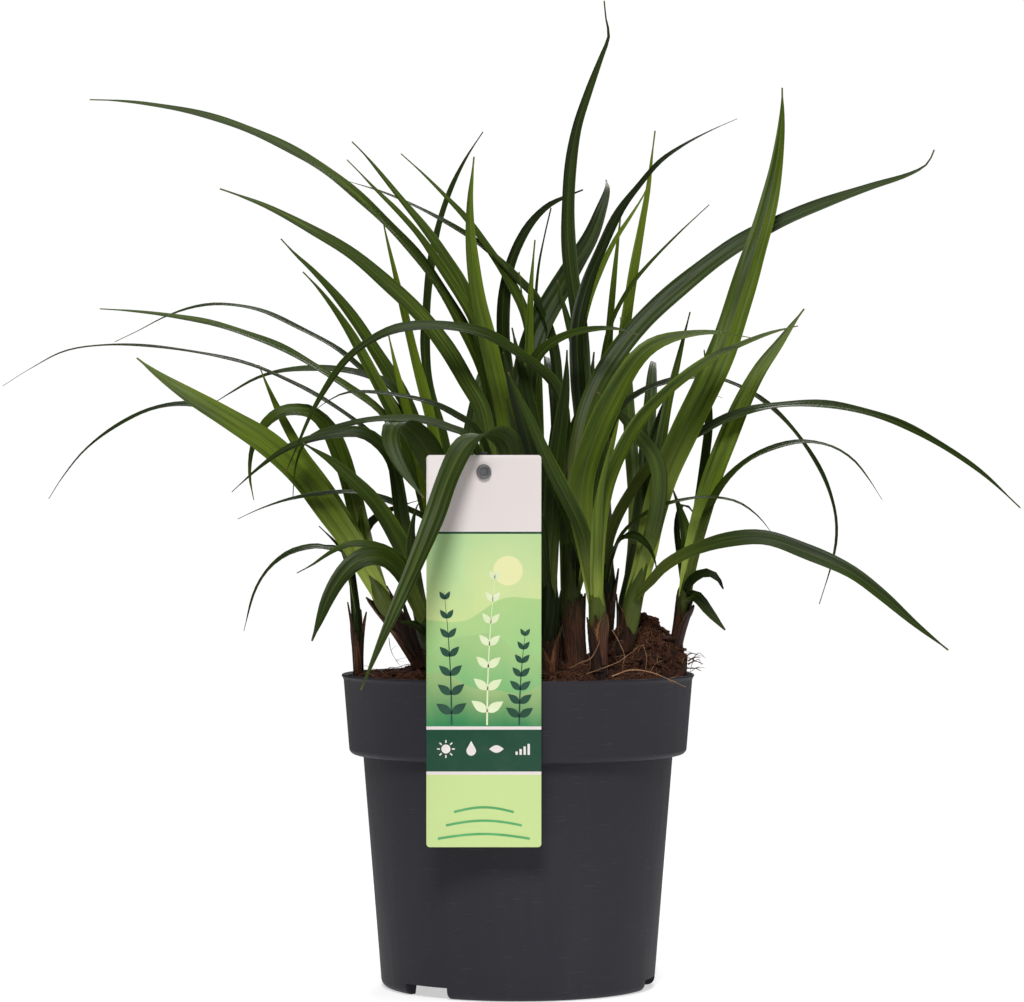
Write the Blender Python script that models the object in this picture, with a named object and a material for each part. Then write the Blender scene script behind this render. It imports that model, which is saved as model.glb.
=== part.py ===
# A carex sedge in its nursery pot, with the plant label that stands in front of it.
# Metres, +Z up, origin on the ground under the middle of the pot, front towards -Y.
import math
import bmesh
import bpy
import numpy as np

for old in list(bpy.data.objects):
    bpy.data.objects.remove(old, do_unlink=True)

# Pot: a 17 cm, 2 litre nursery container
pot_height = 0.152
rim_radius = 0.085
collar_drop = 0.039
collar_foot_radius = 0.0823
body_top_radius = 0.0755
body_foot_radius = 0.0667
wall = 0.0015
rim_bead = 0.0011
foot_height = 0.006
foot_ring_radius = 0.0599
foot_corner = 0.004
collar_corner = 0.003
floor_thickness = 0.002
pot_sides = 36
notch_height = 0.0055
notch_width = 0.027
notch_turns = (-42, 78, 198)
drain_radius = 0.005
drain_circle = 0.05
drain_count = 6
drain_sides = 10
notch_depth = 0.02
cutter_length = 0.02

# Soil, its lumps and the mound at its right
gap = 0.0003
soil_level = 0.1475
soil_rings = 6
mound_place = (0.0625, 0.002)
mound_height = 0.0265
mound_reach = 0.0155
middle_mound_height = 0.009
middle_mound_reach = 0.045
lump_height = 0.0013
stem_depth = 0.024

# Label and the peg that holds it
label_width = 0.0535
label_height = 0.1825
label_thickness = 0.0007
label_corner = 0.0016
label_middle = (-0.0160, -0.0875)
label_foot = 0.075
label_hole_radius = 0.0026
label_hole_height = 0.2497
hole_sides = 16
peg_width = 0.0032
peg_thickness = 0.0022
peg_foot = (-0.0765, 0.122)
peg_head = (-0.0852, 0.259)
stud_head_radius = 0.0035
stud_head_length = 0.0012

# Leaves: their thickness, the fold along the middle and the outline from root to tip
midrib_thickness = 0.0009
edge_thickness = 0.0006
root_share = 0.62
widest_at = 0.42
taper_power = 2.3
tip_width = 0.0009
fold_at_root = 0.42
fold_at_tip = 0.14
station_step = 0.0045
ring_step = 0.038
leaf_clearance = 0.0017
stem_sides = 8
sheath_lip = 0.0009
socket_depth = 0.016
mouth_point = 0.006
shoulder = 0.002
hole_flare = 0.004

# Where the photograph was taken from, so that a leaf's course can be read off it:
# each point of a course is a place across and down in the photograph, in its pixels,
# and a depth behind the pot's middle, in millimetres
camera_place = (-0.0029, -1.880, 0.2361)
photo_middle = (512, 501)
pixel_size = 0.0004885

# Shoots: where each leaves the soil, its crown, the top of its leaf bases, their radii in
# millimetres, and how far the brown sheath reaches from the soil to the crown
shoots = {
    "L1": ((359, 678, 2), (356, 612, 0), (352, 570, -2), (2.0, 2.4, 2.2), 0.86),
    "L2": ((428, 672, -14), (383, 600, -12), (366, 566, -10), (4.4, 4.6, 3.6), 0.9),
    "M1": ((442, 676, -48), (426, 632, -46), (412, 575, -44), (4.0, 4.6, 3.6), 0.62),
    "M2": ((455, 676, 10), (447, 628, 10), (436, 560, 8), (3.6, 4.4, 3.6), 0.75),
    "B3": ((478, 676, 42), (474, 618, 43), (462, 545, 46), (3.6, 4.4, 3.6), 0.8),
    "M3": ((490, 676, -32), (488, 622, -30), (490, 545, -24), (4.0, 4.8, 4.0), 0.75),
    "M4": ((520, 676, 4), (520, 620, 5), (522, 545, 8), (4.0, 4.8, 4.2), 0.8),
    "C0": ((548, 676, -34), (550, 604, -32), (547, 545, -30), (4.0, 4.6, 3.8), 0.6),
    "C1": ((577, 670, -12), (572, 600, -10), (568, 545, -8), (4.6, 4.8, 4.0), 0.9),
    "C2": ((599, 670, -46), (597, 606, -44), (594, 560, -44), (3.6, 4.2, 3.6), 0.7),
    "C3": ((603, 664, 6), (607, 586, 6), (606, 548, 6), (3.6, 4.6, 3.8), 0.85),
    "B1": ((562, 672, 42), (566, 606, 44), (576, 540, 48), (3.8, 4.4, 3.6), 0.8),
    "R1": ((623, 650, -14), (633, 602, -16), (644, 562, -16), (4.0, 4.8, 4.0), 0.45),
    "B2": ((622, 664, 36), (627, 600, 40), (636, 545, 44), (3.6, 4.2, 3.4), 0.75),
    "R2": ((675, 650, -4), (685, 597, -6), (690, 566, -7), (2.6, 3.0, 3.0), 0.8),
}

# Leaves: shoot, name, width in millimetres, how light it is, how its upper face turns from the
# front (0 degrees) to the top (90 degrees) along it, and its course from the crown outwards
leaves = (
    # shoot L1
    ("L1", "low_arch", 6.5, 0.2, (70, 75),
     (345, 556, -8), (330, 549.5, -14), (312, 547.5, -20), (288, 554, -26), (268, 570, -30),
     (254, 594, -34), (244, 631, -38)),
    ("L1", "thin_up", 3, 0.3, (60, 60),
     (344, 556, 3), (335, 542, 6), (319, 526, 10)),
    # shoot L2
    ("L2", "big_left", 13, 0.6, (15, 25),
     (352, 546, -16), (330, 514, -20), (303, 478, -24), (268, 445, -27), (230, 420, -29),
     (190, 396, -29), (160, 376, -27), (137, 358, -25)),
    ("L2", "narrow_left", 8.5, 0.7, (30, 60),
     (358, 545, -6), (340, 513, -5), (319, 480, -3), (299, 450, -1), (280, 415, 2), (267, 385, 4),
     (259, 365, 5)),
    ("L2", "hook_left", 11, 0.4, (20, 65),
     (362, 540, 2), (351, 495, 4), (341, 460, 4), (328, 431, 2), (312, 415, -2), (296, 411.5, -6),
     (280, 414, -10), (264, 427, -14), (253, 448, -17), (250, 475, -19), (254, 500, -20)),
    ("L2", "far_arch", 6, 0.2, (60, 70),
     (352, 548, 8), (322, 500, 12), (285, 458, 14), (250, 433, 13), (215, 411, 10), (185, 404.5, 7),
     (150, 410, 2), (115, 427, -2), (85, 450, -6), (63, 477, -9), (49, 499, -11)),
    ("L2", "right_tip", 6, 0.3, (45, 75),
     (362, 550, 6), (367, 527, 14), (380, 514, 18), (397, 507, 20), (420, 500, 20)),
    ("L2", "inner", 7, 0.5, (20, 40),
     (366, 560, -4), (361, 530, -2), (361, 506, 0)),
    # shoot M1
    ("M1", "diag", 9, 0.4, (20, 35),
     (408, 565, -46), (392, 530, -48), (372, 500, -50), (350, 478, -51), (330, 460, -52),
     (303, 443, -53)),
    ("M1", "hook_thin", 9, 0.3, (30, 65),
     (410, 562, -38), (401, 520, -35), (396, 485, -34), (391, 462, -35), (378, 444, -38),
     (360, 434, -41), (338, 435, -44), (310, 440, -47), (285, 450, -50), (258, 469, -53),
     (232, 492, -56)),
    ("M1", "arch_mid", 6, 0.4, (50, 60),
     (415, 590, -54), (404, 564, -60), (388, 551, -65), (368, 545, -69), (348, 545, -72),
     (330, 553, -74), (312, 565, -76), (297, 573, -77)),
    ("M1", "arch_wide", 11, 0.3, (60, 15),
     (412, 600, -58), (400, 575, -66), (386, 560, -71), (370, 557, -75), (354, 564, -78),
     (340, 579, -80), (328, 600, -82), (320, 620, -83), (312, 641, -84)),
    ("M1", "short_left", 5, 0.1, (30, 50),
     (424, 632, -52), (413, 624, -56), (401, 622, -58)),
    ("M1", "to_label", 8, 0.3, (20, 70),
     (416, 575, -60), (412, 540, -70), (415, 513, -78), (418, 504, -81), (423, 498, -83)),
    # shoot M2
    ("M2", "low_left", 6.5, 0.2, (60, 75),
     (441, 560, 0), (428, 523, -6), (410, 511, -12), (385, 500, -18), (355, 493, -24), (322, 494, -29),
     (290, 499, -33), (262, 508, -36), (238, 519, -38)),
    ("M2", "left_309", 8, 0.45, (30, 70, 50),
     (432, 550, 10), (418, 490, 12), (400, 445, 13), (380, 413, 14), (350, 390, 14), (318, 369, 13),
     (285, 350, 12), (250, 336, 10), (210, 323, 8), (165, 315, 6), (130, 311, 4), (100, 309, 2)),
    ("M2", "left_386", 6, 0.2, (45, 80, 80),
     (438, 560, 2), (430, 508, 0), (412, 484, -2), (392, 460, -4), (366, 431, -6), (330, 404, -9),
     (290, 382, -12), (250, 365, -14), (200, 353, -16), (150, 346.5, -18), (105, 345, -20),
     (65, 351, -22), (30, 369, -24), (3, 386, -26)),
    ("M2", "left_405", 7.5, 0.3, (40, 55, 65),
     (432, 545, 18), (420, 470, 26), (408, 415, 32), (392, 388, 34), (368, 376, 36), (340, 370, 36),
     (310, 369, 35), (280, 371.5, 33), (255, 379, 31), (232, 392, 29), (211, 405, 27)),
    ("M2", "spear_q", 8, 0.6, (30, 35),
     (433, 545, 6), (416, 470, 8), (400, 428, 9), (384, 397, 10), (368, 366, 11), (352, 336, 12),
     (335, 310, 13), (318, 288, 14), (303, 272, 15)),
    ("M2", "bright_388", 6, 0.9, (15, 30),
     (436, 545, 0), (421, 470, -4), (408, 415, -7), (400, 385, -9), (393, 355, -10), (388, 332, -11)),
    ("M2", "loop", 14, 0.25, (20, 10, 0),
     (450, 560, -10), (446, 500, -20), (428, 452, -32), (408, 427, -44), (395, 425, -54),
     (391, 440, -60), (400, 464, -65), (413, 484, -68), (424, 498, -70)),
    # shoot M3
    ("M3", "long_100", 9.5, 0.35, (20, 62, 40),
     (492, 540, -16), (496, 460, -2), (490, 400, 9), (470, 345, 14), (445, 298, 17), (415, 256, 21),
     (375, 213, 25), (330, 175, 29), (285, 147, 32), (240, 127, 34), (195, 113, 35), (150, 104.5, 35),
     (118, 101, 34), (90, 100, 33)),
    ("M3", "broad_189", 8.5, 0.5, (15, 25),
     (490, 540, -27), (488, 460, -26), (482, 412, -25), (466, 382, -25), (445, 347, -26),
     (418, 313, -27), (385, 282, -28), (350, 253, -29), (310, 229, -30), (270, 208, -30),
     (240, 196, -30), (220, 189, -30)),
    ("M3", "up_142", 8, 0.6, (30, 40),
     (496, 530, -8), (494, 440, 4), (485, 370, 12), (474, 322, 17), (462, 285, 20), (445, 257, 22),
     (425, 229, 24), (403, 202, 26), (380, 173, 28), (364, 154, 29), (352, 142, 30)),
    ("M3", "up_160", 7.5, 0.5, (30, 50),
     (497, 530, -12), (497, 440, 4), (490, 370, 7), (476, 328, 8), (460, 298, 9), (440, 266, 10),
     (420, 237, 11), (398, 212, 12), (375, 189, 13), (358, 171, 14), (347, 160, 15)),
    ("M3", "thin_416", 6, 0.2, (40, 75),
     (490, 540, -42), (490, 470, -52), (478, 432, -56), (455, 415, -58), (430, 403, -59),
     (400, 396, -60), (370, 392, -61), (345, 393, -62), (325, 403, -62), (308, 416, -62)),
    ("M3", "thin_497", 7, 0.25, (50, 65),
     (488, 545, -36), (484, 480, -38), (470, 440, -38), (448, 428, -38), (420, 420, -38),
     (390, 419, -39), (365, 421, -40), (338, 427, -41), (315, 434, -42), (302, 447, -43),
     (295, 470, -43), (293, 497, -43)),
    ("M3", "front", 12, 0.45, (30, 15, 20),
     (502, 540, -50), (511, 470, -63), (509, 445, -72), (496, 435, -80), (478, 437, -88),
     (463, 450, -96), (448, 480, -105), (434, 520, -113), (417, 562, -121), (400, 600, -128),
     (382, 640, -134), (361, 690, -139)),
    # shoot M4
    ("M4", "bright_157", 9.5, 0.85, (10, 20),
     (521, 540, 2), (512, 460, 0), (502, 405, -2), (494, 370, -3), (486, 335, -4), (478, 300, -5),
     (473, 265, -6), (470, 230, -6), (470, 200, -6), (472, 178, -6), (474, 157, -6)),
    ("M4", "up_154", 7.5, 0.5, (30, 50),
     (528, 540, 18), (536, 460, 26), (535, 380, 34), (526, 320, 40), (510, 283, 44), (490, 252, 47),
     (468, 221, 50), (445, 196, 52), (422, 173, 54), (401, 154, 55)),
    ("M4", "thin_178", 7, 0.3, (30, 45, 75),
     (534, 540, 24), (550, 460, 32), (557, 400, 37), (552, 345, 41), (538, 303, 44), (520, 282, 46),
     (500, 262, 47), (475, 241, 48), (445, 222, 49), (415, 206, 50), (385, 193, 50), (360, 185, 50),
     (336, 178, 50)),
    ("M4", "arch_472", 8.5, 0.35, (40, 55, 45),
     (537, 560, -4), (557, 480, -12), (563, 425, -22), (555, 388, -30), (535, 367, -36),
     (510, 349, -42), (485, 335, -47), (455, 328, -52), (425, 326, -56), (395, 330, -60),
     (368, 343, -63), (345, 362, -66), (325, 390, -68), (310, 417, -70), (297, 447, -72),
     (286, 472, -73)),
    ("M4", "small_arch", 9, 0.3, (25, 30, 60),
     (522, 540, 22), (514, 450, 32), (506, 380, 40), (502, 330, 46), (504, 290, 52), (512, 258, 58),
     (527, 228, 65), (545, 208, 72), (563, 198, 79), (583, 190, 86)),
    ("M4", "needle_208", 3, 0.3, (30, 40),
     (530, 540, 26), (534, 450, 36), (534, 370, 46), (535, 310, 53), (538, 270, 58), (544, 238, 62),
     (551, 208, 66)),
    ("M4", "bright_240", 6, 0.8, (10, 30),
     (526, 540, 0), (528, 450, -5), (529, 380, -8), (530, 330, -9), (531, 290, -10), (533, 262, -10),
     (535, 240, -10)),
    ("M4", "needle_272", 4, 0.7, (20, 40),
     (530, 540, 10), (534, 450, 12), (530, 380, 13), (526, 330, 14), (522, 297, 14), (519, 272, 14)),
    ("M4", "arch_335", 9.5, 0.45, (25, 40, 50),
     (528, 540, -10), (530, 460, -18), (530, 400, -25), (534, 365, -30), (548, 346, -36),
     (570, 334, -42), (595, 329, -47), (618, 329, -50), (638, 335, -52)),
    ("M4", "curl_back", 13, 0.2, (10, 10),
     (518, 540, 18), (518, 450, 26), (524, 380, 33), (535, 335, 40), (552, 302, 47), (572, 268, 55),
     (590, 238, 64), (601, 210, 74), (607, 190, 87), (606, 180, 102)),
    # shoot B3
    ("B3", "left_342", 5.5, 0.2, (60, 70),
     (436, 550, 44), (420, 480, 45), (405, 425, 46), (385, 392, 46), (360, 368, 46), (335, 348, 46),
     (300, 329, 46), (262, 311, 45), (225, 304.5, 43), (195, 307, 40), (165, 317, 36), (138, 331, 32),
     (115, 342, 28)),
    ("B3", "spear_p", 9, 0.6, (30, 40),
     (440, 540, 48), (424, 460, 50), (410, 415, 51), (394, 383, 52), (376, 353, 53), (356, 322, 54),
     (335, 295, 55), (312, 270, 56), (295, 254, 57), (281, 239, 58)),
    ("B3", "pale_215", 7, 0.75, (35, 45),
     (452, 530, 56), (436, 450, 62), (424, 395, 66), (413, 352, 69), (402, 305, 72), (393, 265, 74),
     (386, 235, 76), (382, 215, 77)),
    ("B3", "cross_132", 9, 0.4, (25, 60, 60),
     (458, 530, 60), (444, 450, 70), (430, 400, 76), (424, 355, 80), (425, 310, 84), (428, 275, 87),
     (434, 242, 89), (442, 212, 91), (452, 185, 93), (466, 158, 95), (483, 132, 97)),
    ("B3", "back_f", 8, 0.3, (10, 20),
     (462, 530, 66), (466, 460, 82), (474, 410, 97), (480, 380, 112), (484, 368, 126), (486, 376, 139)),
    ("B3", "back_g", 8, 0.3, (10, 20),
     (452, 530, 60), (440, 460, 80), (432, 420, 98), (428, 396, 116), (424, 388, 134)),
    # shoot C0
    ("C0", "dark_a", 11, 0.1, (15, 30),
     (544, 530, -36), (535, 470, -40), (522, 420, -44), (510, 380, -47), (503, 352, -49)),
    ("C0", "dark_b", 9, 0.15, (15, 30),
     (546, 520, -29), (537, 450, -28), (528, 400, -27), (519, 360, -26), (512, 328, -24)),
    ("C0", "dark_d", 7, 0.15, (15, 40),
     (540, 530, -44), (529, 490, -52), (520, 450, -58), (512, 420, -62), (506, 398, -65)),
    ("C0", "dark_e", 9, 0.1, (10, 30),
     (552, 530, -40), (556, 470, -44), (562, 420, -46), (566, 385, -47), (567, 350, -47)),
    # shoot C1
    ("C1", "fill_b", 9, 0.25, (15, 25),
     (572, 535, -4), (577, 480, 0), (584, 430, 6), (590, 390, 12), (594, 352, 18)),
    ("C1", "tall_0", 8.5, 0.3, (20, 25, 40),
     (575, 520, -6), (582, 440, 0), (582, 370, 6), (577, 315, 11), (570, 270, 15), (567, 225, 18),
     (569, 175, 21), (576, 130, 24), (588, 92, 27), (600, 60, 29), (608.5, 37, 30), (606, 20, 28),
     (604, 1, 26)),
    ("C1", "up_119", 8, 0.2, (25, 30, 75),
     (580, 520, -14), (583, 440, -12), (579, 380, -9), (578, 330, -5), (588, 285, 0), (603, 248, 4),
     (620, 212, 8), (640, 185, 12), (660, 162, 15), (684, 145, 18), (710, 131, 20), (737, 119, 22)),
    ("C1", "bright_182", 5, 0.8, (20, 40),
     (586, 520, 0), (590, 440, 8), (584, 380, 14), (581, 335, 18), (588, 300, 22), (600, 270, 26),
     (615, 240, 30), (630, 217, 34), (642, 198, 37), (650, 182, 40)),
    ("C1", "grey_280", 9, 0.35, (20, 30),
     (590, 520, 8), (600, 450, 16), (593, 405, 22), (580, 365, 28), (570, 330, 33), (562, 300, 38),
     (557, 280, 42)),
    ("C1", "fill_low", 8, 0.25, (15, 30),
     (568, 540, -13), (566, 480, -13), (571, 440, -15), (580, 410, -17), (587, 385, -19)),
    # shoot C2
    ("C2", "wide_338", 12, 0.75, (10, 15, 75),
     (590, 560, -49), (582, 515, -53), (584, 475, -56), (597, 435, -59), (613, 400, -61),
     (632, 367, -61), (652, 347, -60), (680, 336.5, -58), (715, 332.5, -55), (752, 338, -52)),
    ("C2", "arc_150", 10, 0.4, (15, 20, 35),
     (585, 540, -38), (577, 480, -32), (583, 430, -28), (597, 388, -24), (620, 350, -20),
     (650, 315, -16), (690, 280, -12), (735, 246, -8), (780, 222, -4), (825, 203, 0), (870, 187, 3),
     (905, 176, 6), (926, 165, 8), (934, 150, 10)),
    ("C2", "edge_372", 8, 0.45, (20, 35),
     (588, 560, -52), (580, 527, -62), (564, 494, -68), (548, 462, -71), (532, 425, -73),
     (518, 395, -74), (508, 372, -74)),
    ("C2", "edge_455", 7, 0.4, (20, 40),
     (584, 560, -44), (572, 525, -48), (558, 495, -52), (547, 472, -55), (540, 455, -57)),
    ("C2", "bright_326", 9, 0.8, (10, 50, 55),
     (598, 560, -56), (601, 520, -62), (607, 490, -65), (618, 462, -65), (632, 435, -63),
     (648, 412, -60), (668, 392, -56), (690, 374, -52), (715, 357, -48), (740, 345, -44),
     (770, 333, -40), (798, 326, -36)),
    ("C2", "spear_438", 5, 0.7, (20, 30),
     (598, 560, -60), (600, 500, -70), (606, 465, -74), (612, 438, -76)),
    # shoot C3
    ("C3", "arc_508", 8, 0.3, (25, 70, 35),
     (608, 550, 0), (617, 520, -6), (634, 490, -12), (650, 468, -16), (672, 450, -19), (700, 434, -21),
     (730, 418, -21), (765, 408, -20), (810, 405, -17), (850, 409, -13), (895, 422, -9),
     (940, 445, -5), (982, 473, -1), (1020, 508, 3)),
    ("C3", "drop_604", 7, 0.25, (40, 75, 60),
     (605, 540, 12), (603, 490, 16), (609, 440, 20), (622, 408, 23), (645, 391, 25), (675, 381, 26),
     (705, 377, 26), (735, 385, 25), (765, 403, 23), (795, 433, 20), (820, 470, 17), (833, 505, 14),
     (836, 535, 11), (831, 565, 8), (819, 604, 5)),
    ("C3", "thin_545", 3.5, 0.2, (60, 75),
     (612, 560, -8), (622, 535, -18), (640, 518, -26), (662, 506, -32), (688, 499, -36),
     (712, 497, -39), (738, 502, -41), (758, 516, -42), (771, 532, -42), (780, 545, -41)),
    ("C3", "short_572", 5, 0.15, (50, 60),
     (611, 558, -4), (620, 540, -12), (633, 535, -20), (646, 543, -26), (654, 557, -30), (657, 572, -32)),
    ("C3", "dark_up", 9, 0.2, (15, 30),
     (604, 530, 14), (598, 470, 24), (596, 420, 32), (600, 385, 38), (606, 355, 43)),
    # shoot B1
    ("B1", "fill_d", 9, 0.3, (15, 25),
     (580, 520, 48), (586, 460, 50), (586, 410, 52), (581, 360, 54), (576, 322, 56)),
    ("B1", "bright_131", 6.5, 0.85, (15, 30),
     (594, 520, 54), (610, 440, 60), (619, 380, 65), (626, 325, 69), (634, 270, 72), (642, 225, 74),
     (648, 190, 76), (652, 155, 77), (655, 131, 78)),
    ("B1", "bright_203", 5, 0.8, (15, 30),
     (588, 520, 50), (601, 440, 52), (607, 380, 54), (610, 325, 56), (614, 280, 57), (618, 240, 58),
     (622, 203, 59)),
    ("B1", "thin_205", 4.5, 0.4, (40, 60),
     (582, 520, 44), (596, 430, 44), (604, 360, 45), (612, 322, 46), (630, 288, 48), (650, 263, 50),
     (678, 234, 52), (709, 205, 54)),
    ("B1", "back_a", 9, 0.3, (10, 20),
     (566, 520, 66), (560, 450, 80), (556, 400, 93), (552, 370, 106), (548, 358, 119), (546, 362, 131),
     (545, 380, 140)),
    ("B1", "back_b", 8, 0.3, (10, 20),
     (578, 520, 62), (590, 450, 77), (602, 400, 93), (612, 372, 108), (620, 362, 122), (628, 368, 135)),
    # shoot R1
    ("R1", "fill_h", 8, 0.3, (15, 30),
     (645, 548, -12), (649, 500, -8), (648, 455, -2), (642, 412, 4)),
    ("R1", "tall_88", 14, 0.85, (10, 15, 30),
     (646, 556, -17), (653, 520, -19), (666, 475, -21), (686, 430, -22), (708, 385, -22),
     (725, 345, -21), (740, 300, -19), (753, 258, -17), (766, 215, -14), (775, 175, -11),
     (780, 140, -9), (782, 112, -7), (782, 88, -6)),
    ("R1", "low_650", 9, 0.3, (60, 35, 20),
     (653, 581, -30), (666, 567, -38), (690, 553, -46), (725, 542, -54), (765, 539, -60),
     (805, 552, -65), (848, 571, -70), (880, 594, -73), (915, 624, -76), (948, 650, -78)),
    ("R1", "spear_312", 6, 0.6, (20, 35),
     (650, 540, -6), (655, 490, 0), (661, 445, 5), (668, 405, 9), (676, 370, 12), (683, 340, 14),
     (690, 312, 16)),
    ("R1", "dark_392", 9, 0.2, (25, 25),
     (652, 540, -28), (660, 495, -36), (657, 462, -41), (640, 437, -44), (618, 412, -46),
     (597, 392, -47)),
    # shoot R2
    ("R2", "spear_309", 10, 0.8, (10, 20),
     (690, 562, -9), (699, 525, -11), (712, 480, -12), (727, 440, -12), (743, 402, -11),
     (760, 370, -9), (778, 345, -7), (792, 325, -5), (804, 309, -4)),
    ("R2", "thin_500", 6.5, 0.25, (40, 70, 80),
     (695, 555, -17), (707, 515, -22), (722, 486, -26), (745, 463, -30), (772, 449, -33),
     (802, 442, -36), (830, 446, -38), (852, 459, -39), (868, 478, -40), (882, 500, -41)),
    ("R2", "dark_350", 6, 0.25, (30, 45),
     (693, 550, 1), (700, 505, 5), (705, 465, 8), (709, 425, 10), (708, 388, 12), (704, 350, 13)),
    ("R2", "short_490", 7, 0.45, (20, 40),
     (687, 560, 3), (685, 532, 8), (679, 508, 12), (673, 490, 15)),
    ("R2", "hook_522", 4, 0.3, (40, 50),
     (681, 560, 8), (677, 525, 14), (681, 506, 18), (690, 508, 21), (698, 521, 23)),
    ("R2", "arch_588", 6, 0.25, (50, 40),
     (690, 583, -16), (702, 574, -22), (713, 575, -26), (720, 582, -29), (723, 589, -31)),
    ("R2", "down_630", 6, 0.4, (25, 25),
     (696, 597, -18), (708, 611, -23), (725, 630, -27)),
    # shoot B2
    ("B2", "fill_i", 8, 0.35, (15, 30),
     (638, 530, 45), (647, 470, 46), (660, 420, 48), (675, 378, 51)),
    ("B2", "back_c", 8, 0.3, (10, 20),
     (640, 520, 58), (646, 450, 75), (650, 400, 92), (652, 372, 109), (654, 362, 124), (656, 372, 138)),
    ("B2", "back_d", 7, 0.35, (10, 20),
     (634, 520, 50), (630, 440, 64), (626, 380, 80), (624, 340, 98), (622, 320, 116), (620, 318, 132)),
    ("B2", "back_e", 8, 0.3, (10, 30),
     (650, 530, 52), (672, 470, 64), (690, 430, 78), (702, 405, 92), (712, 395, 106), (722, 398, 118)),
)


def seen(point):
    # The place in metres of a point read off the photograph
    across, down, depth = point
    away = (depth * 0.001 - camera_place[1]) / -camera_place[1] * pixel_size
    x = camera_place[0] + (across - photo_middle[0]) * away
    z = camera_place[2] + (photo_middle[1] - down) * away
    return np.array((x, depth * 0.001, z))


def smooth_course(points, step):
    # A smooth curve through the points, as stations a step apart
    ends = [2 * points[0] - points[1], *points, 2 * points[-1] - points[-2]]
    u = np.linspace(0, 1, 16, endpoint=False)[:, None]
    pieces = []
    for a, b, c, d in zip(ends, ends[1:], ends[2:], ends[3:]):
        slope = (c - a) / 2
        next_slope = (d - b) / 2
        lean = 3 * (c - b) - 2 * slope - next_slope
        bow = 2 * (b - c) + slope + next_slope
        pieces.append(b + slope * u + lean * u**2 + bow * u**3)
    line = np.vstack(pieces + [points[-1][None]])
    return even_stations(line, step)


def even_stations(line, step):
    length = np.r_[0, np.cumsum(np.linalg.norm(np.diff(line, axis=0), axis=1))]
    count = max(6, round(length[-1] / step))
    places = np.linspace(0, length[-1], count + 1)
    return np.stack([np.interp(places, length, line[:, axis]) for axis in range(3)], axis=1)


def unit(vectors):
    return vectors / np.linalg.norm(vectors, axis=-1, keepdims=True)


def leaf_frame(line, turns):
    # The side and upper directions of a leaf at each of its stations
    ahead = unit(np.gradient(line, axis=0))
    away = np.array((0.0, 1.0, 0.0))
    reach = line[-1] - line[0]
    share = np.linspace(0, 1, len(line))
    turn = np.radians(np.interp(share, np.linspace(0, 1, len(turns)), turns))[:, None]
    if abs(reach[1]) > 1.2 * abs(reach[0]) and abs(reach[1]) > 0.03:
        # It arches to the back or to the front, so its width lies across
        across = np.array((1.0, 0.0, 0.0)) * np.sign(reach[1])
        side = unit(across - ahead * (ahead @ across)[:, None])
        upper = np.cross(side, ahead)
        upper = upper * np.cos(turn) + side * np.sin(turn)
    else:
        inward = unit(np.cross(ahead, away)) * (1 if reach[0] > 0 else -1)
        facing = unit(away - ahead * (ahead @ away)[:, None])
        upper = inward * np.sin(turn) - facing * np.cos(turn)
    return np.cross(ahead, unit(upper)), unit(upper)


def half_width(share, width):
    # A leaf's half width at a share of its length, from 0 at the root to 1 at the tip
    rise = root_share + (1 - root_share) * np.sin(np.minimum(share / widest_at, 1) * math.pi / 2)
    fall = 1 - np.maximum((share - widest_at) / (1 - widest_at), 0) ** taper_power
    return np.maximum(width * rise * fall, tip_width) / 2


def leaf_surface(line, width, turns, spots):
    # Points of a leaf's upper face: for each station, one at each spot from edge (-1) to edge (1)
    side, upper = leaf_frame(line, turns)
    share = np.linspace(0, 1, len(line))
    half = half_width(share, width)
    fold = fold_at_root + (fold_at_tip - fold_at_root) * share
    spots = np.asarray(spots)
    out = side[:, None] * spots[:, None] + upper[:, None] * (np.abs(spots)[:, None] * fold[:, None, None])
    return line[:, None] + out * half[:, None, None]


class Leaf:
    def __init__(self, shoot, name, width, light, turns, course):
        self.shoot = shoot
        self.name = name
        self.width = width * 0.001
        self.light = light
        self.turns = turns
        crown = seen(shoots[shoot][1])
        self.line = smooth_course([crown] + [seen(point) for point in course], station_step)
        self.looseness = np.clip((np.linspace(0, 1, len(self.line)) - 0.04) / 0.2, 0, 1)

    def spots(self):
        return leaf_surface(self.line, self.width, self.turns, (-1, -0.5, 0, 0.5, 1))


class Core:
    # A shoot's stem, which leaves are bent clear of and which doesn't move itself
    def __init__(self, shoot):
        ground, crown, top, radii, _ = shoots[shoot]
        self.shoot = shoot
        self.line = even_stations(np.stack([seen(ground), seen(crown), seen(top)]), station_step)
        self.radius = np.interp(np.linspace(0, 1, len(self.line)), (0, 0.5, 1), radii) * 0.001
        self.looseness = np.zeros(len(self.line))

    def spots(self):
        around = np.radians(np.arange(0, 360, 45))
        ring = np.stack([np.cos(around), np.sin(around), 0 * around], axis=1)
        return self.line[:, None] + ring * self.radius[:, None, None]


def near_pairs(points, reach):
    # Pairs of points that look closer than the reach from the front
    cells = np.floor(points[:, (0, 2)] / reach).astype(np.int64)
    key = cells[:, 0] * 100000 + cells[:, 1]
    order = np.argsort(key, kind="stable")
    sorted_key = key[order]
    firsts, seconds = [], []
    for step in (0, 1, 99999, 100000, 100001):
        start = np.searchsorted(sorted_key, key + step, "left")
        stop = np.searchsorted(sorted_key, key + step, "right")
        count = stop - start
        first = np.repeat(np.arange(len(points)), count)
        offset = np.arange(count.sum()) - np.repeat(np.cumsum(count) - count, count)
        second = order[np.repeat(start, count) + offset]
        firsts.append(first)
        seconds.append(second)
    first = np.concatenate(firsts)
    second = np.concatenate(seconds)
    apart = points[first] - points[second]
    near = np.hypot(apart[:, 0], apart[:, 2]) < reach
    return first[near], second[near]


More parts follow.
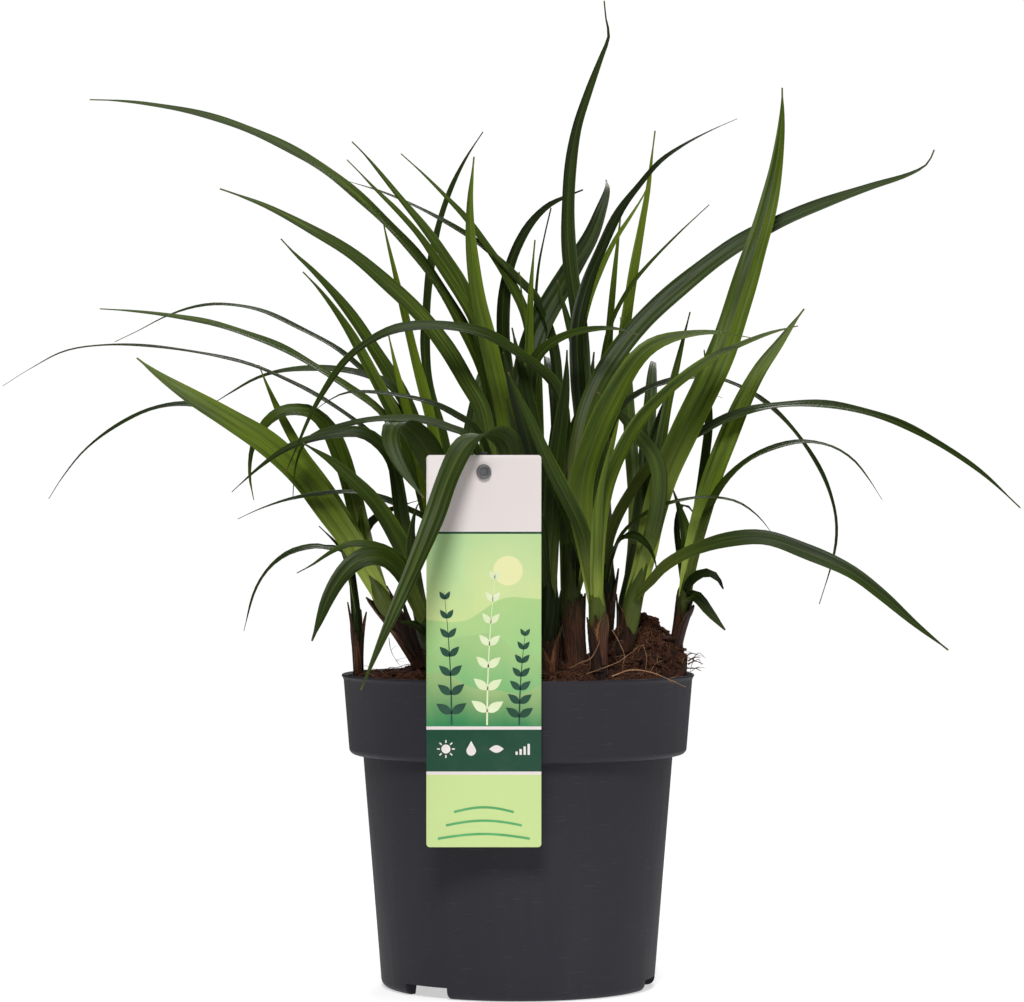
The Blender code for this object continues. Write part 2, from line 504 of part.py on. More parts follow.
def bend_clear(things, rounds=70, reach=0.0034):
    # Bends leaves of different shoots clear of each other, and of the stems, in depth alone,
    # so that the plant keeps the outline that it has from the front
    starts = np.cumsum([0] + [len(thing.line) for thing in things])
    owner = np.repeat(np.arange(len(things)), np.diff(starts))
    shoot_names = sorted({thing.shoot for thing in things})
    shoot_of = np.array([shoot_names.index(thing.shoot) for thing in things])
    loose = np.concatenate([thing.looseness for thing in things])
    spread = np.exp(-0.5 * (np.arange(-16, 17) / 6.5) ** 2)
    for _ in range(rounds):
        clouds = [thing.spots() for thing in things]
        points = np.concatenate([cloud.reshape(-1, 3) for cloud in clouds])
        station = np.concatenate(
            [np.repeat(np.arange(starts[i], starts[i + 1]), cloud.shape[1]) for i, cloud in enumerate(clouds)]
        )
        first, second = near_pairs(points, reach)
        a = station[first]
        b = station[second]
        other = shoot_of[owner[a]] != shoot_of[owner[b]]
        first, second, a, b = first[other], second[other], a[other], b[other]
        middle = np.concatenate([thing.line[:, 1] for thing in things])
        lead = middle[b] - middle[a]
        # Which of two leaves is in front is settled once for each place where they cross
        place = (owner[a] * len(things) + owner[b]) * 1000 + (a - starts[owner[a]]) // 14
        _, group = np.unique(place, return_inverse=True)
        order = np.sign(np.bincount(group, lead) + 1e-9)[group]
        lack = leaf_clearance - order * (points[second, 1] - points[first, 1])
        close = lack > 0
        if not close.any():
            break
        a, b, lack, order = a[close], b[close], lack[close], order[close]
        share = loose[a] / np.maximum(loose[a] + loose[b], 1e-6)
        push = np.zeros((2, len(middle)))
        for index, amount in ((a, -order * lack * share), (b, order * lack * (1 - share))):
            np.maximum.at(push[0], index, amount)
            np.minimum.at(push[1], index, amount)
        for i, thing in enumerate(things):
            if not thing.looseness.any():
                continue
            own = slice(starts[i], starts[i + 1])
            total = push[0, own] + push[1, own]
            eased = np.convolve(total, spread, "full")[16:-16] / spread.sum() * 2.2
            limit = np.abs(total).max()
            thing.line[:, 1] += np.clip(eased, -limit, limit) * thing.looseness


def material(name, colour, roughness, metallic=0.0):
    made = bpy.data.materials.new(name)
    made.use_nodes = True
    shader = made.node_tree.nodes["Principled BSDF"]
    shader.inputs["Base Color"].default_value = (*colour, 1)
    shader.inputs["Roughness"].default_value = roughness
    shader.inputs["Metallic"].default_value = metallic
    return made


def new_object(name, mesh, look):
    made = bpy.data.objects.new(name, mesh)
    bpy.context.scene.collection.objects.link(made)
    made.data.materials.clear()
    made.data.materials.append(look)
    return made


def mesh_of(name, points, faces):
    made = bpy.data.meshes.new(name)
    made.from_pydata([tuple(point) for point in points], [], [tuple(face) for face in faces])
    shape = bmesh.new()
    shape.from_mesh(made)
    bmesh.ops.recalc_face_normals(shape, faces=shape.faces)
    shape.to_mesh(made)
    shape.free()
    made.shade_smooth()
    made.set_sharp_from_angle(angle=math.radians(40))
    return made


def ring_faces(count, sides, start=0):
    # Triangles between rings of points, each ring joined to the next one
    faces = []
    for ring in range(count - 1):
        for i in range(sides):
            a = start + ring * sides + i
            b = start + ring * sides + (i + 1) % sides
            faces += [(a, b, b + sides), (a, b + sides, a + sides)]
    return faces


def turned(name, profile, sides):
    # A solid of revolution: the profile runs from the axis round to the axis again
    shape = bmesh.new()
    edges = []
    corners = [shape.verts.new((radius, 0, height)) for radius, height in profile]
    for a, b in zip(corners, corners[1:]):
        edges.append(shape.edges.new((a, b)))
    bmesh.ops.spin(
        shape, geom=corners + edges, cent=(0, 0, 0), axis=(0, 0, 1), angle=math.tau, steps=sides
    )
    bmesh.ops.remove_doubles(shape, verts=shape.verts, dist=0.00001)
    bmesh.ops.recalc_face_normals(shape, faces=shape.faces)
    made = bpy.data.meshes.new(name)
    shape.to_mesh(made)
    shape.free()
    made.shade_smooth()
    made.set_sharp_from_angle(angle=math.radians(40))
    return made


def combine(target, others, operation, solver="EXACT"):
    # Joins the other objects into the target, or cuts them from it, and removes them
    group = bpy.data.collections.new(target.name + "_others")
    bpy.context.scene.collection.children.link(group)
    for other in others:
        for holder in list(other.users_collection):
            holder.objects.unlink(other)
        group.objects.link(other)
        other.hide_render = True
        other.display_type = "WIRE"
    boolean = target.modifiers.new("others", "BOOLEAN")
    boolean.operation = operation
    boolean.operand_type = "COLLECTION"
    boolean.collection = group
    boolean.solver = solver
    bpy.context.view_layer.update()
    done = bpy.data.meshes.new_from_object(target.evaluated_get(bpy.context.evaluated_depsgraph_get()))
    target.modifiers.remove(boolean)
    target.data = done
    for other in others:
        bpy.data.objects.remove(other, do_unlink=True)
    bpy.data.collections.remove(group)


def round_corner(centre, radius, start, stop, steps=3):
    angles = [math.radians(start + (stop - start) * i / steps) for i in range(steps + 1)]
    return [(centre[0] + radius * math.cos(t), centre[1] + radius * math.sin(t)) for t in angles]


def make_pot():
    collar_foot = pot_height - collar_drop
    half_bead = rim_bead * 0.7
    outer = [(0, foot_height), (foot_ring_radius - 0.001, foot_height), (foot_ring_radius, 0)]
    outer += round_corner((body_foot_radius - foot_corner, foot_corner), foot_corner, -90, 0)
    outer += [(body_top_radius, collar_foot)]
    collar_centre = (collar_foot_radius - collar_corner, collar_foot + collar_corner)
    outer += round_corner(collar_centre, collar_corner, -90, 0)
    outer += [(rim_radius, pot_height - 2.6 * rim_bead)]
    outer += round_corner((rim_radius + 0.0002, pot_height - half_bead), half_bead, -60, 120, 2)
    inside = [(rim_radius - wall, pot_height - rim_bead)]
    inside += [(collar_foot_radius - wall, collar_foot + 2 * wall)]
    inside += [(body_top_radius - wall, collar_foot + wall)]
    inside += [(body_foot_radius - wall, foot_height + floor_thickness), (0, foot_height + floor_thickness)]
    plastic = material("anthracite_plastic", (0.060, 0.060, 0.066), 0.45)
    pot = new_object("pot", turned("pot", outer + inside, pot_sides), plastic)
    cutters = []
    for turn in notch_turns:
        bpy.ops.mesh.primitive_cube_add(size=1)
        notch = bpy.context.object
        angle = math.radians(turn - 90)
        notch.location = (math.cos(angle) * body_foot_radius, math.sin(angle) * body_foot_radius, 0)
        notch.rotation_euler = (0, 0, angle)
        notch.scale = (notch_depth, notch_width, 2 * notch_height)
        cutters.append(notch)
    for i in range(drain_count):
        angle = math.tau * (i + 0.5) / drain_count
        bpy.ops.mesh.primitive_cylinder_add(vertices=drain_sides, radius=drain_radius, depth=cutter_length)
        drain = bpy.context.object
        drain.location = (math.cos(angle) * drain_circle, math.sin(angle) * drain_circle, foot_height)
        cutters.append(drain)
    combine(pot, cutters, "DIFFERENCE")
    return pot


def soil_height(x, y):
    # The soil's top: the mound at the right, a low rise under the shoots, and lumps
    from_mound = (x - mound_place[0]) ** 2 + (y - mound_place[1]) ** 2
    mound = mound_height * np.exp(-from_mound / (2 * mound_reach**2))
    rise = middle_mound_height * np.exp(-(x**2 + y**2) / (2 * middle_mound_reach**2))
    lumps = np.sin(190 * x + 3) * np.sin(230 * y + 1)
    lumps = lumps + 0.7 * np.sin(410 * x + 260 * y) + 0.6 * np.sin(520 * y - 330 * x)
    return soil_level + mound + rise + lump_height * lumps


def stem_tube(name, stations, radii, sides, look):
    ahead = unit(np.gradient(stations, axis=0))
    side = unit(np.cross(ahead, (0.0, 1.0, 0.0)))
    back = np.cross(side, ahead)
    points = []
    for centre, s, b, radius in zip(stations, side, back, radii):
        for i in range(sides):
            angle = math.tau * i / sides
            points.append(centre + (s * math.cos(angle) + b * math.sin(angle)) * radius)
    faces = ring_faces(len(stations), sides)
    faces.append(range(sides))
    faces.append(range(len(points) - sides, len(points)))
    return new_object(name, mesh_of(name, points, faces), look)


def stem_line(shoot):
    # A shoot's stem from its foot under the soil to its crown, with its radii
    ground, crown, top, radii, _ = shoots[shoot]
    ground, crown = seen(ground), seen(crown)
    foot = ground - unit(crown - ground) * stem_depth
    return np.stack([foot, ground, crown]), np.array((radii[0], radii[0], radii[1])) * 0.001


def make_soil():
    collar_foot = pot_height - collar_drop
    floor_top = foot_height + floor_thickness
    lower = body_foot_radius - wall - gap
    upper = body_top_radius - wall - gap
    collar = collar_foot_radius - wall - gap
    surface = rim_radius - wall - gap
    share = (soil_level - collar_foot) / collar_drop
    brink = collar + (surface - collar) * share
    soil_sides = pot_sides
    side = [(lower * 0.5, floor_top + gap), (lower, floor_top + gap), (upper, collar_foot + wall + gap)]
    side += [(collar, collar_foot + 2 * wall + gap), (brink, soil_level - 0.002)]
    points = [(0, 0, floor_top + gap)]
    angles = [math.tau * i / soil_sides for i in range(soil_sides)]
    for radius, height in side:
        points += [(radius * math.cos(t), radius * math.sin(t), height) for t in angles]
    for ring in range(soil_rings):
        radius = brink * (1 - ring / soil_rings)
        for t in angles:
            x, y = radius * math.cos(t), radius * math.sin(t)
            points.append((x, y, float(soil_height(x, y))))
    points.append((0, 0, float(soil_height(0.0, 0.0))))
    faces = ring_faces(len(side) + soil_rings, soil_sides, 1)
    last = len(points) - 1
    for i in range(soil_sides):
        after = (i + 1) % soil_sides
        faces.append((0, 1 + after, 1 + i))
        faces.append((last, last - soil_sides + i, last - soil_sides + after))
    peat = material("red_brown_peat", (0.085, 0.036, 0.022), 0.95)
    soil = new_object("soil", mesh_of("soil", points, faces), peat)
    holes = []
    for shoot in shoots:
        (foot, ground, crown), radii = stem_line(shoot)
        ahead = unit(ground - foot)
        line = np.stack([foot - ahead * gap, ground - ahead * hole_flare, ground, crown])
        wide = radii[2] + sheath_lip + 2 * gap
        hole_radii = (radii[0] + 2 * gap, radii[0] + 2 * gap, wide, wide)
        holes.append(stem_tube("hole", line, hole_radii, stem_sides, peat))
    bpy.ops.mesh.primitive_cube_add(size=1)
    slot = bpy.context.object
    place_peg(slot, peg_width + 3 * gap, peg_thickness + 3 * gap, 2 * gap)
    holes.append(slot)
    combine(soil, holes, "DIFFERENCE")
    return soil


def place_peg(peg, width, thickness, longer=0.0):
    rise = peg_head[1] - peg_foot[1]
    lean = peg_head[0] - peg_foot[0]
    peg.scale = (width, thickness, math.hypot(rise, lean) + 2 * longer)
    peg.location = (label_middle[0], (peg_head[0] + peg_foot[0]) / 2, (peg_head[1] + peg_foot[1]) / 2)
    peg.rotation_euler = (math.atan2(-lean, rise), 0, 0)


def make_peg():
    plastic = material("dark_grey_plastic", (0.055, 0.056, 0.058), 0.5)
    bpy.ops.mesh.primitive_cube_add(size=1)
    peg = bpy.context.object
    peg.name = "label_peg"
    peg.data.materials.append(plastic)
    place_peg(peg, peg_width, peg_thickness)
    back = label_middle[1] + label_thickness / 2 + gap
    front = label_middle[1] - label_thickness / 2 - gap
    discs = (
        (label_hole_radius - gap, front - stud_head_length / 2, peg_head[0] + 0.001),
        (stud_head_radius, front, front - stud_head_length),
        (stud_head_radius, back, peg_head[0] + 0.001),
    )
    parts = []
    for radius, near, far in discs:
        bpy.ops.mesh.primitive_cylinder_add(vertices=hole_sides, radius=radius, depth=abs(far - near))
        disc = bpy.context.object
        disc.rotation_euler = (math.pi / 2, 0, 0)
        disc.location = (label_middle[0], (near + far) / 2, label_hole_height)
        parts.append(disc)
    combine(peg, parts, "UNION")
    return peg


def make_label():
    half = label_width / 2 - label_corner
    low = label_corner
    high = label_height - label_corner
    outline = round_corner((half, low), label_corner, -90, 0)
    outline += round_corner((half, high), label_corner, 0, 90)
    outline += round_corner((-half, high), label_corner, 90, 180)
    outline += round_corner((-half, low), label_corner, 180, 270)
    points = [(x, -label_thickness / 2, z) for x, z in outline]
    points += [(x, label_thickness / 2, z) for x, z in outline]
    count = len(outline)
    faces = [range(count), range(count, 2 * count)]
    for i in range(count):
        after = (i + 1) % count
        faces.append((i, after, after + count, i + count))
    card = material("pale_green_card", (0.60, 0.75, 0.42), 0.5)
    label = new_object("plant_label", mesh_of("plant_label", points, faces), card)
    label.location = (label_middle[0], label_middle[1], label_foot)
    bpy.ops.mesh.primitive_cylinder_add(vertices=hole_sides, radius=label_hole_radius, depth=cutter_length)
    hole = bpy.context.object
    hole.rotation_euler = (math.pi / 2, 0, 0)
    hole.location = (label_middle[0], label_middle[1], label_hole_height)
    combine(label, [hole], "DIFFERENCE")
    return label


def make_leaf(leaf, look):
    # A thin folded blade: an upper and a lower face of three points across, closed at both ends
    count = max(5, round(len(leaf.line) * station_step / ring_step))
    line = even_stations(leaf.line, station_step * len(leaf.line) / count)
    upper_face = leaf_surface(line, leaf.width, leaf.turns, (-1, 0, 1))
    _, upper = leaf_frame(line, leaf.turns)
    drop = np.array((edge_thickness, midrib_thickness, edge_thickness))
    lower_face = upper_face - upper[:, None] * drop[:, None]
    points = []
    for top, under in zip(upper_face, lower_face):
        points += [*top, *under[::-1]]
    faces = []
    sides = 6
    rings = len(line)
    # The same diagonals on both faces keep a twisted blade from crossing itself
    for ring in range(rings - 1):
        for i in range(sides):
            a = ring * sides + i
            b = ring * sides + (i + 1) % sides
            if i < 3:
                faces += [(a, b, b + sides), (a, b + sides, a + sides)]
            else:
                faces += [(a, b, a + sides), (b, b + sides, a + sides)]
    for start in (0, (rings - 1) * sides):
        faces += [(start, start + 1, start + 4, start + 5), (start + 1, start + 2, start + 3, start + 4)]
    return new_object(leaf.shoot + "_" + leaf.name, mesh_of(leaf.name, points, faces), look)


def make_sheath(shoot):
    # The brown sheath: a tapered tube that stands in the soil, with a pointed mouth and a socket
    # in which the green leaf bases stand
    _, _, _, radii, reach = shoots[shoot]
    line, stem_radii = stem_line(shoot)
    bark = material("brown_sheath", (0.10, 0.045, 0.030), 0.75)
    ahead = unit(line[2] - line[1])
    side = unit(np.cross(ahead, (0.0, 1.0, 0.0)))
    back = np.cross(side, ahead)
    mouth = line[1] + (line[2] - line[1]) * reach
    outer = radii[1] * 0.001 + sheath_lip
    socket = min(socket_depth, np.linalg.norm(mouth - line[1]) * 0.55)
    points = []
    rings = (
        (line[0], stem_radii[0] * 0.9, 0),
        (line[1], stem_radii[0], 0),
        (mouth - ahead * (socket + shoulder), outer, 0),
        (mouth, outer, mouth_point),
        (mouth, radii[1] * 0.001 + gap, mouth_point),
        (mouth - ahead * socket, radii[1] * 0.001 + gap, 0),
    )
    for centre, radius, points_up in rings:
        for i in range(stem_sides):
            angle = math.tau * i / stem_sides
            lift = points_up * (0.5 + 0.5 * math.cos(2 * angle)) ** 2
            out = (side * math.cos(angle) + back * math.sin(angle)) * radius
            points.append(centre + out + ahead * lift)
    faces = ring_faces(len(rings), stem_sides)
    faces.append(range(stem_sides))
    faces.append(range(len(points) - stem_sides, len(points)))
    name = "sheath_" + shoot
    new_object(name, mesh_of(name, points, faces), bark)
    # The foot of the green core in the socket
    return mouth - ahead * (socket - gap), radii[1] * 0.001 - 0.8 * gap


def make_tuft(shoot, tuft_leaves):
    # The green leaves of one shoot, grown out of their own stem
    foot, foot_radius = make_sheath(shoot)
    _, crown, top, radii, _ = shoots[shoot]
    light = sum(leaf.light for leaf in tuft_leaves) / len(tuft_leaves)
    dark_green = np.array((0.070, 0.105, 0.026))
    bright_green = np.array((0.200, 0.270, 0.040))
    look = material("green_leaf_" + shoot, dark_green + (bright_green - dark_green) * light, 0.5)
    line = np.stack([foot, seen(crown), seen(top)])
    if line[1, 2] - line[0, 2] < 0.003:
        line = line[[0, 2]]
        core_radii = (foot_radius, radii[2] * 0.001)
    else:
        core_radii = (foot_radius, radii[1] * 0.001, radii[2] * 0.001)
    tuft = stem_tube("tuft_" + shoot, line, core_radii, stem_sides, look)
    combine(tuft, [make_leaf(leaf, look) for leaf in tuft_leaves], "UNION", "MANIFOLD")
    return tuft


make_pot()
make_soil()
make_label()
make_peg()

all_leaves = [Leaf(*row[:5], row[5:]) for row in leaves]
bend_clear(all_leaves + [Core(shoot) for shoot in shoots])
for shoot in shoots:
    make_tuft(shoot, [leaf for leaf in all_leaves if leaf.shoot == shoot])
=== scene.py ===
import math

import bpy
import bmesh
import numpy as np
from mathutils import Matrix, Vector


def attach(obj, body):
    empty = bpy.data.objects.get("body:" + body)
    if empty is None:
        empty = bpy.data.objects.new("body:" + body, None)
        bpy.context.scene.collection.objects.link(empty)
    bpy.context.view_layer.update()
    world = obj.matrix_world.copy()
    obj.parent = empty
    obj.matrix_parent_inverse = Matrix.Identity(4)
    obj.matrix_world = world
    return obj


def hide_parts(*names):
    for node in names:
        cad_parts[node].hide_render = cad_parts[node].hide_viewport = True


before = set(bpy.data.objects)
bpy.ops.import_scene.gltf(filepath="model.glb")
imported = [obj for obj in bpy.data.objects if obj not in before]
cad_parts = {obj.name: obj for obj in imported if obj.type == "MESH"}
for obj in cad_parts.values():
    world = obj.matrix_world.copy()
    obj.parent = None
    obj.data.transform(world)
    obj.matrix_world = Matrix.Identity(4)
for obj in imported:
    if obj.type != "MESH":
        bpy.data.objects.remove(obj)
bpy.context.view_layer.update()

mm = 0.001

# How points read off the photograph become places
cameraPlace = (-0.0029, -1.880, 0.2361)
photoMiddle = (512, 501)
pixelSize = 0.0004885

# The part's own leaf rules. Leaves and stems have to stay as it has them
leafForm = {
    "rootShare": 0.62,
    "widestAt": 0.42,
    "taperPower": 2.3,
    "tipWidth": 0.0009,
    "foldAtRoot": 0.42,
    "foldAtTip": 0.14,
    "station": 0.0045,
    "stemDepth": 0.024,
    "stiffShare": 0.04,
    "loosenShare": 0.2,
    "archReach": 0.03,
}

# Shoots: where each leaves the soil, its crown, the top of its leaf bases, their radii in
# millimetres, and how far the brown sheath reaches from the soil to the crown
shoots = {
    "L1": ((359, 678, 2), (356, 612, 0), (352, 570, -2), (2.0, 2.4, 2.2), 0.86),
    "L2": ((428, 672, -14), (383, 600, -12), (366, 566, -10), (4.4, 4.6, 3.6), 0.9),
    "M1": ((442, 676, -48), (426, 632, -46), (412, 575, -44), (4.0, 4.6, 3.6), 0.62),
    "M2": ((455, 676, 10), (447, 628, 10), (436, 560, 8), (3.6, 4.4, 3.6), 0.75),
    "B3": ((478, 676, 42), (474, 618, 43), (462, 545, 46), (3.6, 4.4, 3.6), 0.8),
    "M3": ((490, 676, -32), (488, 622, -30), (490, 545, -24), (4.0, 4.8, 4.0), 0.75),
    "M4": ((520, 676, 4), (520, 620, 5), (522, 545, 8), (4.0, 4.8, 4.2), 0.8),
    "C0": ((548, 676, -34), (550, 604, -32), (547, 545, -30), (4.0, 4.6, 3.8), 0.6),
    "C1": ((577, 670, -12), (572, 600, -10), (568, 545, -8), (4.6, 4.8, 4.0), 0.9),
    "C2": ((599, 670, -46), (597, 606, -44), (594, 560, -44), (3.6, 4.2, 3.6), 0.7),
    "C3": ((603, 664, 6), (607, 586, 6), (606, 548, 6), (3.6, 4.6, 3.8), 0.85),
    "B1": ((562, 672, 42), (566, 606, 44), (576, 540, 48), (3.8, 4.4, 3.6), 0.8),
    "R1": ((623, 650, -14), (633, 602, -16), (644, 562, -16), (4.0, 4.8, 4.0), 0.45),
    "B2": ((622, 664, 36), (627, 600, 40), (636, 545, 44), (3.6, 4.2, 3.4), 0.75),
    "R2": ((675, 650, -4), (685, 597, -6), (690, 566, -7), (2.6, 3.0, 3.0), 0.8),
}

